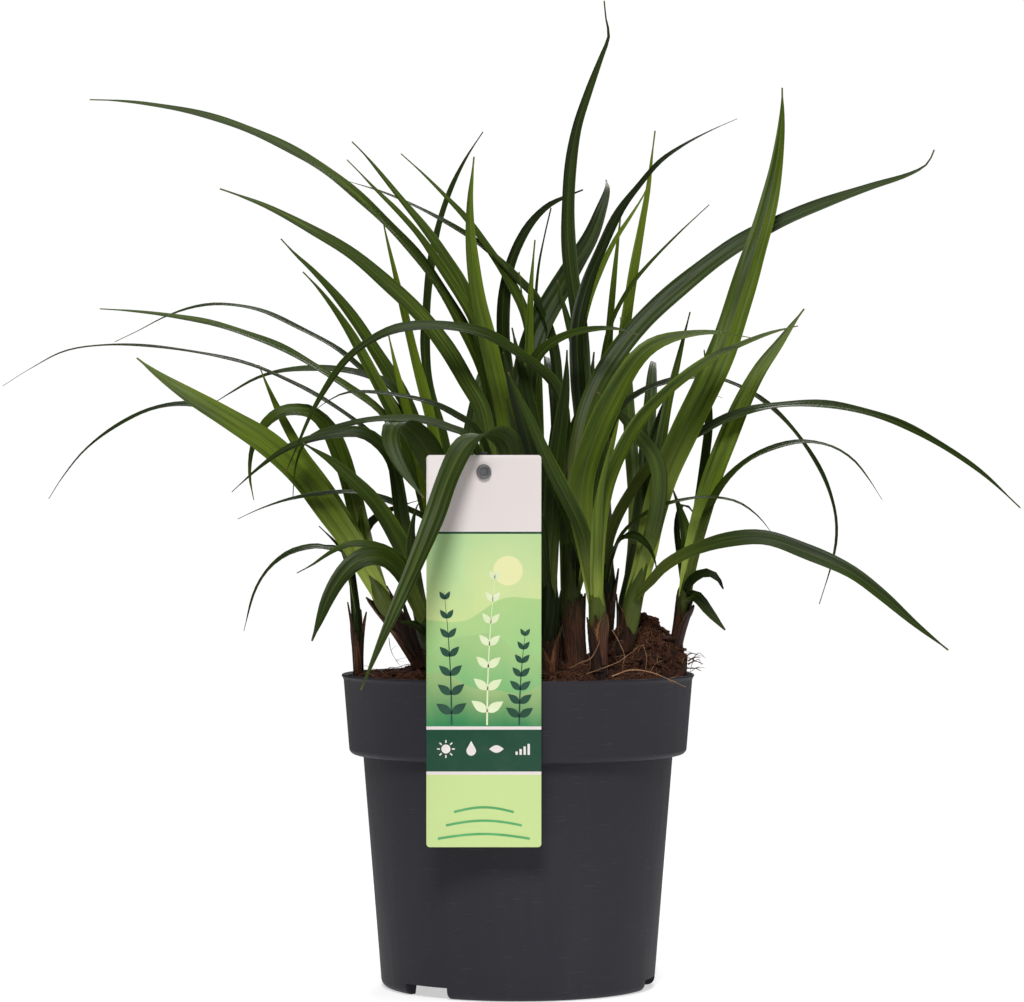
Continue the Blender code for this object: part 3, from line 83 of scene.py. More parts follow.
# Leaves of each shoot: width in millimetres, how light it is (partly its own colour, partly painted
# light: leaves lit from behind are set brighter and leaves in shade darker), how its upper face turns
# from the front (0 degrees) to the top (90 degrees) along it, then across, down and depth in turn
# for each point of its course from the crown outwards
leaves = {
    "L1": (
        (6.5, 0.2, (70, 75), 345, 556, -8, 330, 549.5, -14, 312, 547.5, -20, 288, 554, -26, 268, 570, -30,
         254, 594, -34, 244, 631, -38),
        (3, 0.3, (60, 60), 344, 556, 3, 335, 542, 6, 319, 526, 10),
    ),
    "L2": (
        (13, 0.75, (15, 25), 352, 546, -16, 330, 514, -20, 303, 478, -24, 268, 445, -27, 230, 420, -29, 190,
         396, -29, 160, 376, -27, 137, 358, -25),
        (8.5, 0.7, (30, 60), 358, 545, -6, 340, 513, -5, 319, 480, -3, 299, 450, -1, 280, 415, 2, 267, 385,
         4, 259, 365, 5),
        (11, 0.4, (20, 65), 362, 540, 2, 351, 495, 4, 341, 460, 4, 328, 431, 2, 312, 415, -2, 296, 411.5,
         -6, 280, 414, -10, 264, 427, -14, 253, 448, -17, 250, 475, -19, 254, 500, -20),
        (6, 0.2, (60, 70), 352, 548, 8, 322, 500, 12, 285, 458, 14, 250, 433, 13, 215, 411, 10, 185, 404.5,
         7, 150, 410, 2, 115, 427, -2, 85, 450, -6, 63, 477, -9, 49, 499, -11),
        (6, 0.3, (45, 75), 362, 550, 6, 367, 527, 14, 380, 514, 18, 397, 507, 20, 420, 500, 20),
        (7, 0.5, (20, 40), 366, 560, -4, 361, 530, -2, 361, 506, 0),
    ),
    "M1": (
        (9, 0.4, (20, 35), 408, 565, -46, 392, 530, -48, 372, 500, -50, 350, 478, -51, 330, 460, -52, 303,
         443, -53),
        (9, 0.3, (30, 65), 410, 562, -38, 401, 520, -35, 396, 485, -34, 391, 462, -35, 378, 444, -38, 360,
         434, -41, 338, 435, -44, 310, 440, -47, 285, 450, -50, 258, 469, -53, 232, 492, -56),
        (6, 0.4, (50, 60), 415, 590, -54, 404, 564, -60, 388, 551, -65, 368, 545, -69, 348, 545, -72, 330,
         553, -74, 312, 565, -76, 297, 573, -77),
        (11, 0.3, (60, 15), 412, 600, -58, 400, 575, -66, 386, 560, -71, 370, 557, -75, 354, 564, -78, 340,
         579, -80, 328, 600, -82, 320, 620, -83, 312, 641, -84),
        (5, 0.1, (30, 50), 424, 632, -52, 413, 624, -56, 401, 622, -58),
        (8, 0.3, (20, 70), 416, 575, -60, 412, 540, -70, 415, 513, -78, 418, 504, -81, 423, 498, -83),
    ),
    "M2": (
        (6.5, 0.2, (60, 75), 441, 560, 0, 428, 523, -6, 410, 511, -12, 385, 500, -18, 355, 493, -24, 322,
         494, -29, 290, 499, -33, 262, 508, -36, 238, 519, -38),
        (8, 0.45, (30, 70, 50), 432, 550, 10, 418, 490, 12, 400, 445, 13, 380, 413, 14, 350, 390, 14, 318,
         369, 13, 285, 350, 12, 250, 336, 10, 210, 323, 8, 165, 315, 6, 130, 311, 4, 100, 309, 2),
        (6, 0.2, (45, 80, 80), 438, 560, 2, 430, 508, 0, 412, 484, -2, 392, 460, -4, 366, 431, -6, 330, 404,
         -9, 290, 382, -12, 250, 365, -14, 200, 353, -16, 150, 346.5, -18, 105, 345, -20, 65, 351, -22, 30,
         369, -24, 3, 386, -26),
        (7.5, 0.3, (40, 55, 65), 432, 545, 18, 420, 470, 26, 408, 415, 32, 392, 388, 34, 368, 376, 36, 340,
         370, 36, 310, 369, 35, 280, 371.5, 33, 255, 379, 31, 232, 392, 29, 211, 405, 27),
        (8, 0.6, (30, 35), 433, 545, 6, 416, 470, 8, 400, 428, 9, 384, 397, 10, 368, 366, 11, 352, 336, 12,
         335, 310, 13, 318, 288, 14, 303, 272, 15),
        (6, 0.9, (15, 30), 436, 545, 0, 421, 470, -4, 408, 415, -7, 400, 385, -9, 393, 355, -10, 388, 332,
         -11),
        (14, 0.25, (20, 10, 0), 450, 560, -10, 446, 500, -20, 428, 452, -32, 408, 427, -44, 395, 425, -54,
         391, 440, -60, 400, 464, -65, 413, 484, -68, 424, 498, -70),
    ),
    "M3": (
        (9.5, 0.35, (20, 62, 40), 492, 540, -16, 496, 460, -2, 490, 400, 9, 470, 345, 14, 445, 298, 17, 415,
         256, 21, 375, 213, 25, 330, 175, 29, 285, 147, 32, 240, 127, 34, 195, 113, 35, 150, 104.5, 35, 118,
         101, 34, 90, 100, 33),
        (8.5, 0.5, (15, 25), 490, 540, -27, 488, 460, -26, 482, 412, -25, 466, 382, -25, 445, 347, -26, 418,
         313, -27, 385, 282, -28, 350, 253, -29, 310, 229, -30, 270, 208, -30, 240, 196, -30, 220, 189,
         -30),
        (8, 0.6, (30, 40), 496, 530, -8, 494, 440, 4, 485, 370, 12, 474, 322, 17, 462, 285, 20, 445, 257,
         22, 425, 229, 24, 403, 202, 26, 380, 173, 28, 364, 154, 29, 352, 142, 30),
        (7.5, 0.5, (30, 50), 497, 530, -12, 497, 440, 4, 490, 370, 7, 476, 328, 8, 460, 298, 9, 440, 266,
         10, 420, 237, 11, 398, 212, 12, 375, 189, 13, 358, 171, 14, 347, 160, 15),
        (6, 0.2, (40, 75), 490, 540, -42, 490, 470, -52, 478, 432, -56, 455, 415, -58, 430, 403, -59, 400,
         396, -60, 370, 392, -61, 345, 393, -62, 325, 403, -62, 308, 416, -62),
        (7, 0.25, (50, 65), 488, 545, -36, 484, 480, -38, 470, 440, -38, 448, 428, -38, 420, 420, -38, 390,
         419, -39, 365, 421, -40, 338, 427, -41, 315, 434, -42, 302, 447, -43, 295, 470, -43, 293, 497,
         -43),
        (12, 0.45, (30, 15, 20), 502, 540, -50, 511, 470, -63, 509, 445, -72, 496, 435, -80, 478, 437, -88,
         463, 450, -96, 448, 480, -105, 434, 520, -113, 417, 562, -121, 400, 600, -128, 382, 640, -134, 361,
         690, -139),
    ),
    "M4": (
        (9.5, 0.85, (10, 20), 521, 540, 2, 512, 460, 0, 502, 405, -2, 494, 370, -3, 486, 335, -4, 478, 300,
         -5, 473, 265, -6, 470, 230, -6, 470, 200, -6, 472, 178, -6, 474, 157, -6),
        (7.5, 0.5, (30, 50), 528, 540, 18, 536, 460, 26, 535, 380, 34, 526, 320, 40, 510, 283, 44, 490, 252,
         47, 468, 221, 50, 445, 196, 52, 422, 173, 54, 401, 154, 55),
        (7, 0.3, (30, 45, 75), 534, 540, 24, 550, 460, 32, 557, 400, 37, 552, 345, 41, 538, 303, 44, 520,
         282, 46, 500, 262, 47, 475, 241, 48, 445, 222, 49, 415, 206, 50, 385, 193, 50, 360, 185, 50, 336,
         178, 50),
        (8.5, 0.35, (40, 55, 45), 537, 560, -4, 557, 480, -12, 563, 425, -22, 555, 388, -30, 535, 367, -36,
         510, 349, -42, 485, 335, -47, 455, 328, -52, 425, 326, -56, 395, 330, -60, 368, 343, -63, 345, 362,
         -66, 325, 390, -68, 310, 417, -70, 297, 447, -72, 286, 472, -73),
        (9, 0.3, (25, 30, 60), 522, 540, 22, 514, 450, 32, 506, 380, 40, 502, 330, 46, 504, 290, 52, 512,
         258, 58, 527, 228, 65, 545, 208, 72, 563, 198, 79, 583, 190, 86),
        (3, 0.3, (30, 40), 530, 540, 26, 534, 450, 36, 534, 370, 46, 535, 310, 53, 538, 270, 58, 544, 238,
         62, 551, 208, 66),
        (6, 0.8, (10, 30), 526, 540, 0, 528, 450, -5, 529, 380, -8, 530, 330, -9, 531, 290, -10, 533, 262,
         -10, 535, 240, -10),
        (4, 0.7, (20, 40), 530, 540, 10, 534, 450, 12, 530, 380, 13, 526, 330, 14, 522, 297, 14, 519, 272,
         14),
        (9.5, 0.45, (25, 40, 50), 528, 540, -10, 530, 460, -18, 530, 400, -25, 534, 365, -30, 548, 346, -36,
         570, 334, -42, 595, 329, -47, 618, 329, -50, 638, 335, -52),
        (13, 0.2, (10, 10), 518, 540, 18, 518, 450, 26, 524, 380, 33, 535, 335, 40, 552, 302, 47, 572, 268,
         55, 590, 238, 64, 601, 210, 74, 607, 190, 87, 606, 180, 102),
    ),
    "B3": (
        (5.5, 0.2, (60, 70), 436, 550, 44, 420, 480, 45, 405, 425, 46, 385, 392, 46, 360, 368, 46, 335, 348,
         46, 300, 329, 46, 262, 311, 45, 225, 304.5, 43, 195, 307, 40, 165, 317, 36, 138, 331, 32, 115, 342,
         28),
        (9, 0.6, (30, 40), 440, 540, 48, 424, 460, 50, 410, 415, 51, 394, 383, 52, 376, 353, 53, 356, 322,
         54, 335, 295, 55, 312, 270, 56, 295, 254, 57, 281, 239, 58),
        (7, 0.75, (35, 45), 452, 530, 56, 436, 450, 62, 424, 395, 66, 413, 352, 69, 402, 305, 72, 393, 265,
         74, 386, 235, 76, 382, 215, 77),
        (9, 0.4, (25, 60, 60), 458, 530, 60, 444, 450, 70, 430, 400, 76, 424, 355, 80, 425, 310, 84, 428,
         275, 87, 434, 242, 89, 442, 212, 91, 452, 185, 93, 466, 158, 95, 483, 132, 97),
        (8, 0.3, (10, 20), 462, 530, 66, 466, 460, 82, 474, 410, 97, 480, 380, 112, 484, 368, 126, 486, 376,
         139),
        (8, 0.3, (10, 20), 452, 530, 60, 440, 460, 80, 432, 420, 98, 428, 396, 116, 424, 388, 134),
    ),
    "C0": (
        (11, 0.1, (15, 30), 544, 530, -36, 535, 470, -40, 522, 420, -44, 510, 380, -47, 503, 352, -49),
        (9, 0.15, (15, 30), 546, 520, -29, 537, 450, -28, 528, 400, -27, 519, 360, -26, 512, 328, -24),
        (7, 0.15, (15, 40), 540, 530, -44, 529, 490, -52, 520, 450, -58, 512, 420, -62, 506, 398, -65),
        (9, 0.1, (10, 30), 552, 530, -40, 556, 470, -44, 562, 420, -46, 566, 385, -47, 567, 350, -47),
    ),
    "C1": (
        (9, 0.25, (15, 25), 572, 535, -4, 577, 480, 0, 584, 430, 6, 590, 390, 12, 594, 352, 18),
        (8.5, 0.3, (20, 25, 40), 575, 520, -6, 582, 440, 0, 582, 370, 6, 577, 315, 11, 570, 270, 15, 567,
         225, 18, 569, 175, 21, 576, 130, 24, 588, 92, 27, 600, 60, 29, 608.5, 37, 30, 606, 20, 28, 604, 1,
         26),
        (8, 0.2, (25, 30, 75), 580, 520, -14, 583, 440, -12, 579, 380, -9, 578, 330, -5, 588, 285, 0, 603,
         248, 4, 620, 212, 8, 640, 185, 12, 660, 162, 15, 684, 145, 18, 710, 131, 20, 737, 119, 22),
        (5, 0.8, (20, 40), 586, 520, 0, 590, 440, 8, 584, 380, 14, 581, 335, 18, 588, 300, 22, 600, 270, 26,
         615, 240, 30, 630, 217, 34, 642, 198, 37, 650, 182, 40),
        (9, 0.35, (20, 30), 590, 520, 8, 600, 450, 16, 593, 405, 22, 580, 365, 28, 570, 330, 33, 562, 300,
         38, 557, 280, 42),
        (8, 0.25, (15, 30), 568, 540, -13, 566, 480, -13, 571, 440, -15, 580, 410, -17, 587, 385, -19),
    ),
    "C2": (
        (12, 0.5, (10, 15, 75), 590, 560, -49, 582, 515, -53, 584, 475, -56, 597, 435, -59, 613, 400, -61,
         632, 367, -61, 652, 347, -60, 680, 336.5, -58, 715, 332.5, -55, 752, 338, -52),
        (10, 0.4, (15, 20, 35), 585, 540, -38, 577, 480, -32, 583, 430, -28, 597, 388, -24, 620, 350, -20,
         650, 315, -16, 690, 280, -12, 735, 246, -8, 780, 222, -4, 825, 203, 0, 870, 187, 3, 905, 176, 6,
         926, 165, 8, 934, 150, 10),
        (8, 0.45, (20, 35), 588, 560, -52, 580, 527, -62, 564, 494, -68, 548, 462, -71, 532, 425, -73, 518,
         395, -74, 508, 372, -74),
        (7, 0.4, (20, 40), 584, 560, -44, 572, 525, -48, 558, 495, -52, 547, 472, -55, 540, 455, -57),
        (9, 0.45, (10, 50, 55), 598, 560, -56, 601, 520, -62, 607, 490, -65, 618, 462, -65, 632, 435, -63,
         648, 412, -60, 668, 392, -56, 690, 374, -52, 715, 357, -48, 740, 345, -44, 770, 333, -40, 798, 326,
         -36),
        (5, 0.7, (20, 30), 598, 560, -60, 600, 500, -70, 606, 465, -74, 612, 438, -76),
    ),
    "C3": (
        (8, 0.3, (25, 70, 35), 608, 550, 0, 617, 520, -6, 634, 490, -12, 650, 468, -16, 672, 450, -19, 700,
         434, -21, 730, 418, -21, 765, 408, -20, 810, 405, -17, 850, 409, -13, 895, 422, -9, 940, 445, -5,
         982, 473, -1, 1020, 508, 3),
        (7, 0.25, (40, 75, 60), 605, 540, 12, 603, 490, 16, 609, 440, 20, 622, 408, 23, 645, 391, 25, 675,
         381, 26, 705, 377, 26, 735, 385, 25, 765, 403, 23, 795, 433, 20, 820, 470, 17, 833, 505, 14, 836,
         535, 11, 831, 565, 8, 819, 604, 5),
        (3.5, 0.2, (60, 75), 612, 560, -8, 622, 535, -18, 640, 518, -26, 662, 506, -32, 688, 499, -36, 712,
         497, -39, 738, 502, -41, 758, 516, -42, 771, 532, -42, 780, 545, -41),
        (5, 0.15, (50, 60), 611, 558, -4, 620, 540, -12, 633, 535, -20, 646, 543, -26, 654, 557, -30, 657,
         572, -32),
        (9, 0.2, (15, 30), 604, 530, 14, 598, 470, 24, 596, 420, 32, 600, 385, 38, 606, 355, 43),
    ),
    "B1": (
        (9, 0.3, (15, 25), 580, 520, 48, 586, 460, 50, 586, 410, 52, 581, 360, 54, 576, 322, 56),
        (6.5, 0.85, (15, 30), 594, 520, 54, 610, 440, 60, 619, 380, 65, 626, 325, 69, 634, 270, 72, 642,
         225, 74, 648, 190, 76, 652, 155, 77, 655, 131, 78),
        (5, 0.8, (15, 30), 588, 520, 50, 601, 440, 52, 607, 380, 54, 610, 325, 56, 614, 280, 57, 618, 240,
         58, 622, 203, 59),
        (4.5, 0.4, (40, 60), 582, 520, 44, 596, 430, 44, 604, 360, 45, 612, 322, 46, 630, 288, 48, 650, 263,
         50, 678, 234, 52, 709, 205, 54),
        (9, 0.3, (10, 20), 566, 520, 66, 560, 450, 80, 556, 400, 93, 552, 370, 106, 548, 358, 119, 546, 362,
         131, 545, 380, 140),
        (8, 0.3, (10, 20), 578, 520, 62, 590, 450, 77, 602, 400, 93, 612, 372, 108, 620, 362, 122, 628, 368,
         135),
    ),
    "R1": (
        (8, 0.3, (15, 30), 645, 548, -12, 649, 500, -8, 648, 455, -2, 642, 412, 4),
        (14, 0.76, (10, 15, 30), 646, 556, -17, 653, 520, -19, 666, 475, -21, 686, 430, -22, 708, 385, -22,
         725, 345, -21, 740, 300, -19, 753, 258, -17, 766, 215, -14, 775, 175, -11, 780, 140, -9, 782, 112,
         -7, 782, 88, -6),
        (9, 0.3, (60, 35, 20), 653, 581, -30, 666, 567, -38, 690, 553, -46, 725, 542, -54, 765, 539, -60,
         805, 552, -65, 848, 571, -70, 880, 594, -73, 915, 624, -76, 948, 650, -78),
        (6, 0.6, (20, 35), 650, 540, -6, 655, 490, 0, 661, 445, 5, 668, 405, 9, 676, 370, 12, 683, 340, 14,
         690, 312, 16),
        (9, 0.42, (25, 25), 652, 540, -28, 660, 495, -36, 657, 462, -41, 640, 437, -44, 618, 412, -46, 597,
         392, -47),
    ),
    "R2": (
        (10, 0.8, (10, 20), 690, 562, -9, 699, 525, -11, 712, 480, -12, 727, 440, -12, 743, 402, -11, 760,
         370, -9, 778, 345, -7, 792, 325, -5, 804, 309, -4),
        (6.5, 0.25, (40, 70, 80), 695, 555, -17, 707, 515, -22, 722, 486, -26, 745, 463, -30, 772, 449, -33,
         802, 442, -36, 830, 446, -38, 852, 459, -39, 868, 478, -40, 882, 500, -41),
        (6, 0.25, (30, 45), 693, 550, 1, 700, 505, 5, 705, 465, 8, 709, 425, 10, 708, 388, 12, 704, 350,
         13),
        (7, 0.45, (20, 40), 687, 560, 3, 685, 532, 8, 679, 508, 12, 673, 490, 15),
        (4, 0.3, (40, 50), 681, 560, 8, 677, 525, 14, 681, 506, 18, 690, 508, 21, 698, 521, 23),
        (6, 0.25, (50, 40), 690, 583, -16, 702, 574, -22, 713, 575, -26, 720, 582, -29, 723, 589, -31),
        (6, 0.4, (25, 25), 696, 597, -18, 708, 611, -23, 725, 630, -27),
    ),
    "B2": (
        (8, 0.35, (15, 30), 638, 530, 45, 647, 470, 46, 660, 420, 48, 675, 378, 51),
        (8, 0.3, (10, 20), 640, 520, 58, 646, 450, 75, 650, 400, 92, 652, 372, 109, 654, 362, 124, 656, 372,
         138),
        (7, 0.35, (10, 20), 634, 520, 50, 630, 440, 64, 626, 380, 80, 624, 340, 98, 622, 320, 116, 620, 318,
         132),
        (8, 0.3, (10, 30), 650, 530, 52, 672, 470, 64, 690, 430, 78, 702, 405, 92, 712, 395, 106, 722, 398,
         118),
    ),
}


def seen(point):
    # The place in metres of a point read off the photograph
    across, down, depth = point
    away = (depth * mm - cameraPlace[1]) / -cameraPlace[1] * pixelSize
    x = cameraPlace[0] + (across - photoMiddle[0]) * away
    z = cameraPlace[2] + (photoMiddle[1] - down) * away
    return np.array((x, depth * mm, z))


def unit(vectors):
    return vectors / np.linalg.norm(vectors, axis=-1, keepdims=True)


def lengthAlong(line):
    return np.r_[0, np.cumsum(np.linalg.norm(np.diff(line, axis=0), axis=1))]


def pointsAt(places, length, line):
    return np.stack([np.interp(places, length, line[:, axis]) for axis in range(3)], axis=1)


def evenStations(line, step):
    length = lengthAlong(line)
    count = max(6, round(length[-1] / step))
    return pointsAt(np.linspace(0, length[-1], count + 1), length, line)


def longLine(points, radii, step=0.002):
    # A polyline as even stations, with the radius at each
    points = np.asarray(points)
    length = lengthAlong(points)
    places = np.linspace(0, length[-1], max(4, int(length[-1] / step)))
    return pointsAt(places, length, points), np.interp(places, length, radii)


def smoothCourse(points, step):
    # A smooth curve through the points, as stations a step apart
    ends = [2 * points[0] - points[1], *points, 2 * points[-1] - points[-2]]
    u = np.linspace(0, 1, 16, endpoint=False)[:, None]
    pieces = []
    for a, b, c, d in zip(ends, ends[1:], ends[2:], ends[3:]):
        slope = (c - a) / 2
        nextSlope = (d - b) / 2
        lean = 3 * (c - b) - 2 * slope - nextSlope
        bow = 2 * (b - c) + slope + nextSlope
        pieces.append(b + slope * u + lean * u**2 + bow * u**3)
    return evenStations(np.vstack(pieces + [points[-1][None]]), step)


def leafFrame(line, turns):
    # The side and upper directions of a leaf at each of its stations
    ahead = unit(np.gradient(line, axis=0))
    away = np.array((0.0, 1.0, 0.0))
    reach = line[-1] - line[0]
    turn = np.interp(np.linspace(0, 1, len(line)), np.linspace(0, 1, len(turns)), turns)
    turn = np.radians(turn)[:, None]
    if abs(reach[1]) > 1.2 * abs(reach[0]) and abs(reach[1]) > leafForm["archReach"]:
        # It arches to the back or to the front, so its width lies across
        across = np.array((1.0, 0.0, 0.0)) * np.sign(reach[1])
        side = unit(across - ahead * (ahead @ across)[:, None])
        upper = np.cross(side, ahead) * np.cos(turn) + side * np.sin(turn)
    else:
        inward = unit(np.cross(ahead, away)) * (1 if reach[0] > 0 else -1)
        facing = unit(away - ahead * (ahead @ away)[:, None])
        upper = inward * np.sin(turn) - facing * np.cos(turn)
    return np.cross(ahead, unit(upper)), unit(upper)


def halfWidth(share, width):
    # A leaf's half width at a share of its length, from 0 at the root to 1 at the tip
    form = leafForm
    root, widest = form["rootShare"], form["widestAt"]
    rise = root + (1 - root) * np.sin(np.minimum(share / widest, 1) * math.pi / 2)
    fall = 1 - np.maximum((share - widest) / (1 - widest), 0) ** form["taperPower"]
    return np.maximum(width * rise * fall, form["tipWidth"]) / 2


def leafSurface(line, width, turns, spots):
    # Points of a leaf's upper face: for each station, one at each spot from edge (-1) to edge (1)
    side, upper = leafFrame(line, turns)
    share = np.linspace(0, 1, len(line))
    fold = leafForm["foldAtRoot"] + (leafForm["foldAtTip"] - leafForm["foldAtRoot"]) * share
    spots = np.asarray(spots)[:, None]
    out = side[:, None] * spots + upper[:, None] * (np.abs(spots) * fold[:, None, None])
    return line[:, None] + out * halfWidth(share, width)[:, None, None]


class Leaf:
    def __init__(self, shoot, width, light, turns, *course):
        self.shoot = shoot
        self.width = width * mm
        self.light = light
        self.turns = turns
        points = [seen(point) for point in (shoots[shoot][1], *np.reshape(course, (-1, 3)))]
        self.line = smoothCourse(points, leafForm["station"])
        share = np.linspace(0, 1, len(self.line))
        self.looseness = np.clip((share - leafForm["stiffShare"]) / leafForm["loosenShare"], 0, 1)

    def spots(self):
        return leafSurface(self.line, self.width, self.turns, (-1, -0.5, 0, 0.5, 1))


class Core:
    # A shoot's stem, which leaves are bent clear of and which doesn't move itself
    def __init__(self, shoot):
        *places, radii, _ = shoots[shoot]
        self.shoot = shoot
        self.line = evenStations(np.stack([seen(point) for point in places]), leafForm["station"])
        self.radius = np.interp(np.linspace(0, 1, len(self.line)), (0, 0.5, 1), radii) * mm
        self.looseness = np.zeros(len(self.line))

    def spots(self):
        around = np.radians(np.arange(0, 360, 45))
        ring = np.stack([np.cos(around), np.sin(around), 0 * around], axis=1)
        return self.line[:, None] + ring * self.radius[:, None, None]


def nearPairs(points, reach):
    # Pairs of points that look closer than the reach from the front, found in a grid of cells
    rowStride = 100000
    cells = np.floor(points[:, (0, 2)] / reach).astype(np.int64)
    key = cells[:, 0] * rowStride + cells[:, 1]
    order = np.argsort(key, kind="stable")
    sortedKey = key[order]
    firsts, seconds = [], []
    for step in (0, 1, rowStride - 1, rowStride, rowStride + 1):
        start = np.searchsorted(sortedKey, key + step, "left")
        count = np.searchsorted(sortedKey, key + step, "right") - start
        offset = np.arange(count.sum()) - np.repeat(np.cumsum(count) - count, count)
        firsts.append(np.repeat(np.arange(len(points)), count))
        seconds.append(order[np.repeat(start, count) + offset])
    first = np.concatenate(firsts)
    second = np.concatenate(seconds)
    apart = points[first] - points[second]
    near = np.hypot(apart[:, 0], apart[:, 2]) < reach
    return first[near], second[near]


clearForm = {
    "rounds": 70,
    "near": 0.0034,
    "clearance": 0.0017,
    "crossing": 14,
    "span": 16,
    "ease": 6.5,
    "gain": 2.2,
}


def bendClear(things):
    # Bends leaves of different shoots clear of each other, and of the stems, in depth alone,
    # so that the plant keeps the outline that it has from the front
    form = clearForm
    span = form["span"]
    starts = np.cumsum([0] + [len(thing.line) for thing in things])
    owner = np.repeat(np.arange(len(things)), np.diff(starts))
    shootNames = sorted({thing.shoot for thing in things})
    shootOf = np.array([shootNames.index(thing.shoot) for thing in things])
    loose = np.concatenate([thing.looseness for thing in things])
    spread = np.exp(-0.5 * (np.arange(-span, span + 1) / form["ease"]) ** 2)
    for _ in range(form["rounds"]):
        clouds = [thing.spots() for thing in things]
        points = np.concatenate([cloud.reshape(-1, 3) for cloud in clouds])
        counts = np.concatenate([np.full(len(cloud), cloud.shape[1]) for cloud in clouds])
        station = np.repeat(np.arange(starts[-1]), counts)
        first, second = nearPairs(points, form["near"])
        a = station[first]
        b = station[second]
        other = shootOf[owner[a]] != shootOf[owner[b]]
        first, second, a, b = first[other], second[other], a[other], b[other]
        middle = np.concatenate([thing.line[:, 1] for thing in things])
        lead = middle[b] - middle[a]
        # Which of two leaves is in front is settled once for each place where they cross
        place = (owner[a] * len(things) + owner[b]) * 1000 + (a - starts[owner[a]]) // form["crossing"]
        _, group = np.unique(place, return_inverse=True)
        order = np.sign(np.bincount(group, lead) + 1e-9)[group]
        lack = form["clearance"] - order * (points[second, 1] - points[first, 1])
        close = lack > 0
        if not close.any():
            break
        a, b, lack, order = a[close], b[close], lack[close], order[close]
        share = loose[a] / np.maximum(loose[a] + loose[b], 1e-6)
        push = np.zeros((2, len(middle)))
        for index, amount in ((a, -order * lack * share), (b, order * lack * (1 - share))):
            np.maximum.at(push[0], index, amount)
            np.minimum.at(push[1], index, amount)
        for i, thing in enumerate(things):
            if thing.looseness.any():
                total = push[:, starts[i] : starts[i + 1]].sum(axis=0)
                eased = np.convolve(total, spread, "full")[span:-span] / spread.sum() * form["gain"]
                limit = np.abs(total).max()
                thing.line[:, 1] += np.clip(eased, -limit, limit) * thing.looseness


def stemLine(shoot):
    # A shoot's foot under the soil, where it leaves the soil, and its crown
    ground, crown = [seen(point) for point in shoots[shoot][:2]]
    return ground - unit(crown - ground) * leafForm["stemDepth"], ground, crown


# Shader maths as expressions


def operator(operation):
    # The Math node of an operator and of its reflected form
    def forward(self, other):
        return Wire.maths(operation, self, other)

    def reflected(self, other):
        return Wire.maths(operation, other, self)

    return forward, reflected


class Wire:
    # Wraps a socket
    tree = None
    __add__, __radd__ = operator("ADD")
    __sub__, __rsub__ = operator("SUBTRACT")
    __mul__, __rmul__ = operator("MULTIPLY")
    __truediv__, __rtruediv__ = operator("DIVIDE")
    __pow__, __rpow__ = operator("POWER")

    def __init__(self, socket):
        self.socket = socket

    @classmethod
    def node(cls, kind, settings=None, sockets=None, output=0):
        made = cls.tree.nodes.new(kind)
        for name, value in (settings or {}).items():
            setattr(made, name, value)
        for name, value in (sockets or {}).items():
            cls.feed(made.inputs[name], value)
        return cls(made.outputs[output])

    @classmethod
    def feed(cls, socket, value):
        if isinstance(value, Wire):
            cls.tree.links.new(value.socket, socket)
        elif socket.type == "RGBA" and len(value) == 3:
            socket.default_value = (*value, 1)
        else:
            socket.default_value = value

    @classmethod
    def maths(cls, operation, *values, clamp=False):
        sockets = dict(enumerate(values))
        return cls.node("ShaderNodeMath", {"operation": operation, "use_clamp": clamp}, sockets)

    def clamped(self):
        return Wire.maths("ADD", self, 0.0, clamp=True)

    def sine(self):
        return Wire.maths("SINE", self)

    def magnitude(self):
        return Wire.maths("ABSOLUTE", self)

    def swing(self, amount):
        # A value from 0 to 1 as a change to either side
        return (self - 0.5) * amount

    def step(self, low, high):
        # 0 below low, 1 above high, smooth between them
        sockets = {"Value": self, "From Min": low, "From Max": high}
        return Wire.node("ShaderNodeMapRange", {"interpolation_type": "SMOOTHSTEP"}, sockets)

    def mix(self, low, high):
        # Between two colours, by this factor
        return Wire.node("ShaderNodeMix", {"data_type": "RGBA"}, {0: self, 6: low, 7: high}, 2)

    def part(self, axis):
        return Wire.node("ShaderNodeSeparateXYZ", {}, {"Vector": self}, axis)

    def stretched(self, x, y, z):
        return Wire.node("ShaderNodeVectorMath", {"operation": "MULTIPLY"}, {0: self, 1: (x, y, z)})


def joined(x, y, z):
    return Wire.node("ShaderNodeCombineXYZ", {}, {"X": x, "Y": y, "Z": z})


def place():
    return Wire.node("ShaderNodeTexCoord", {}, {}, 3)


def attribute(name):
    return Wire.node("ShaderNodeAttribute", {"attribute_name": name}, {}, 2)


def noise(where, scale, detail=3.0, roughness=0.55, distortion=0.0):
    sockets = {"Vector": where, "Scale": scale, "Detail": detail}
    sockets.update({"Roughness": roughness, "Distortion": distortion})
    return Wire.node("ShaderNodeTexNoise", {}, sockets)


def bladeNoise(blade, stretch, detail=3.0, roughness=0.55):
    # Noise drawn out along a leaf, by its across, along and tone, and unlike on each leaf
    return noise(joined(*[wire * amount for wire, amount in zip(blade, stretch)]), 1.0, detail, roughness)


def graded(value, look, *names):
    # From one colour through another to a third, over the look's two spans of the value
    dark, middle, light = [look[name] for name in names]
    lower, upper = look["spans"]
    return value.step(*upper).mix(value.step(*lower).mix(dark, middle), light)


def bump(height, distance, strength):
    return Wire.node("ShaderNodeBump", {}, {"Height": height, "Distance": distance, "Strength": strength})


def newMaterial(name):
    made = bpy.data.materials.new(name)
    made.use_nodes = True
    Wire.tree = made.node_tree
    return made


def dress(made, **sockets):
    shader = made.node_tree.nodes["Principled BSDF"]
    for name, value in sockets.items():
        Wire.feed(shader.inputs[name.replace("_", " ")], value)
    return made


# Materials

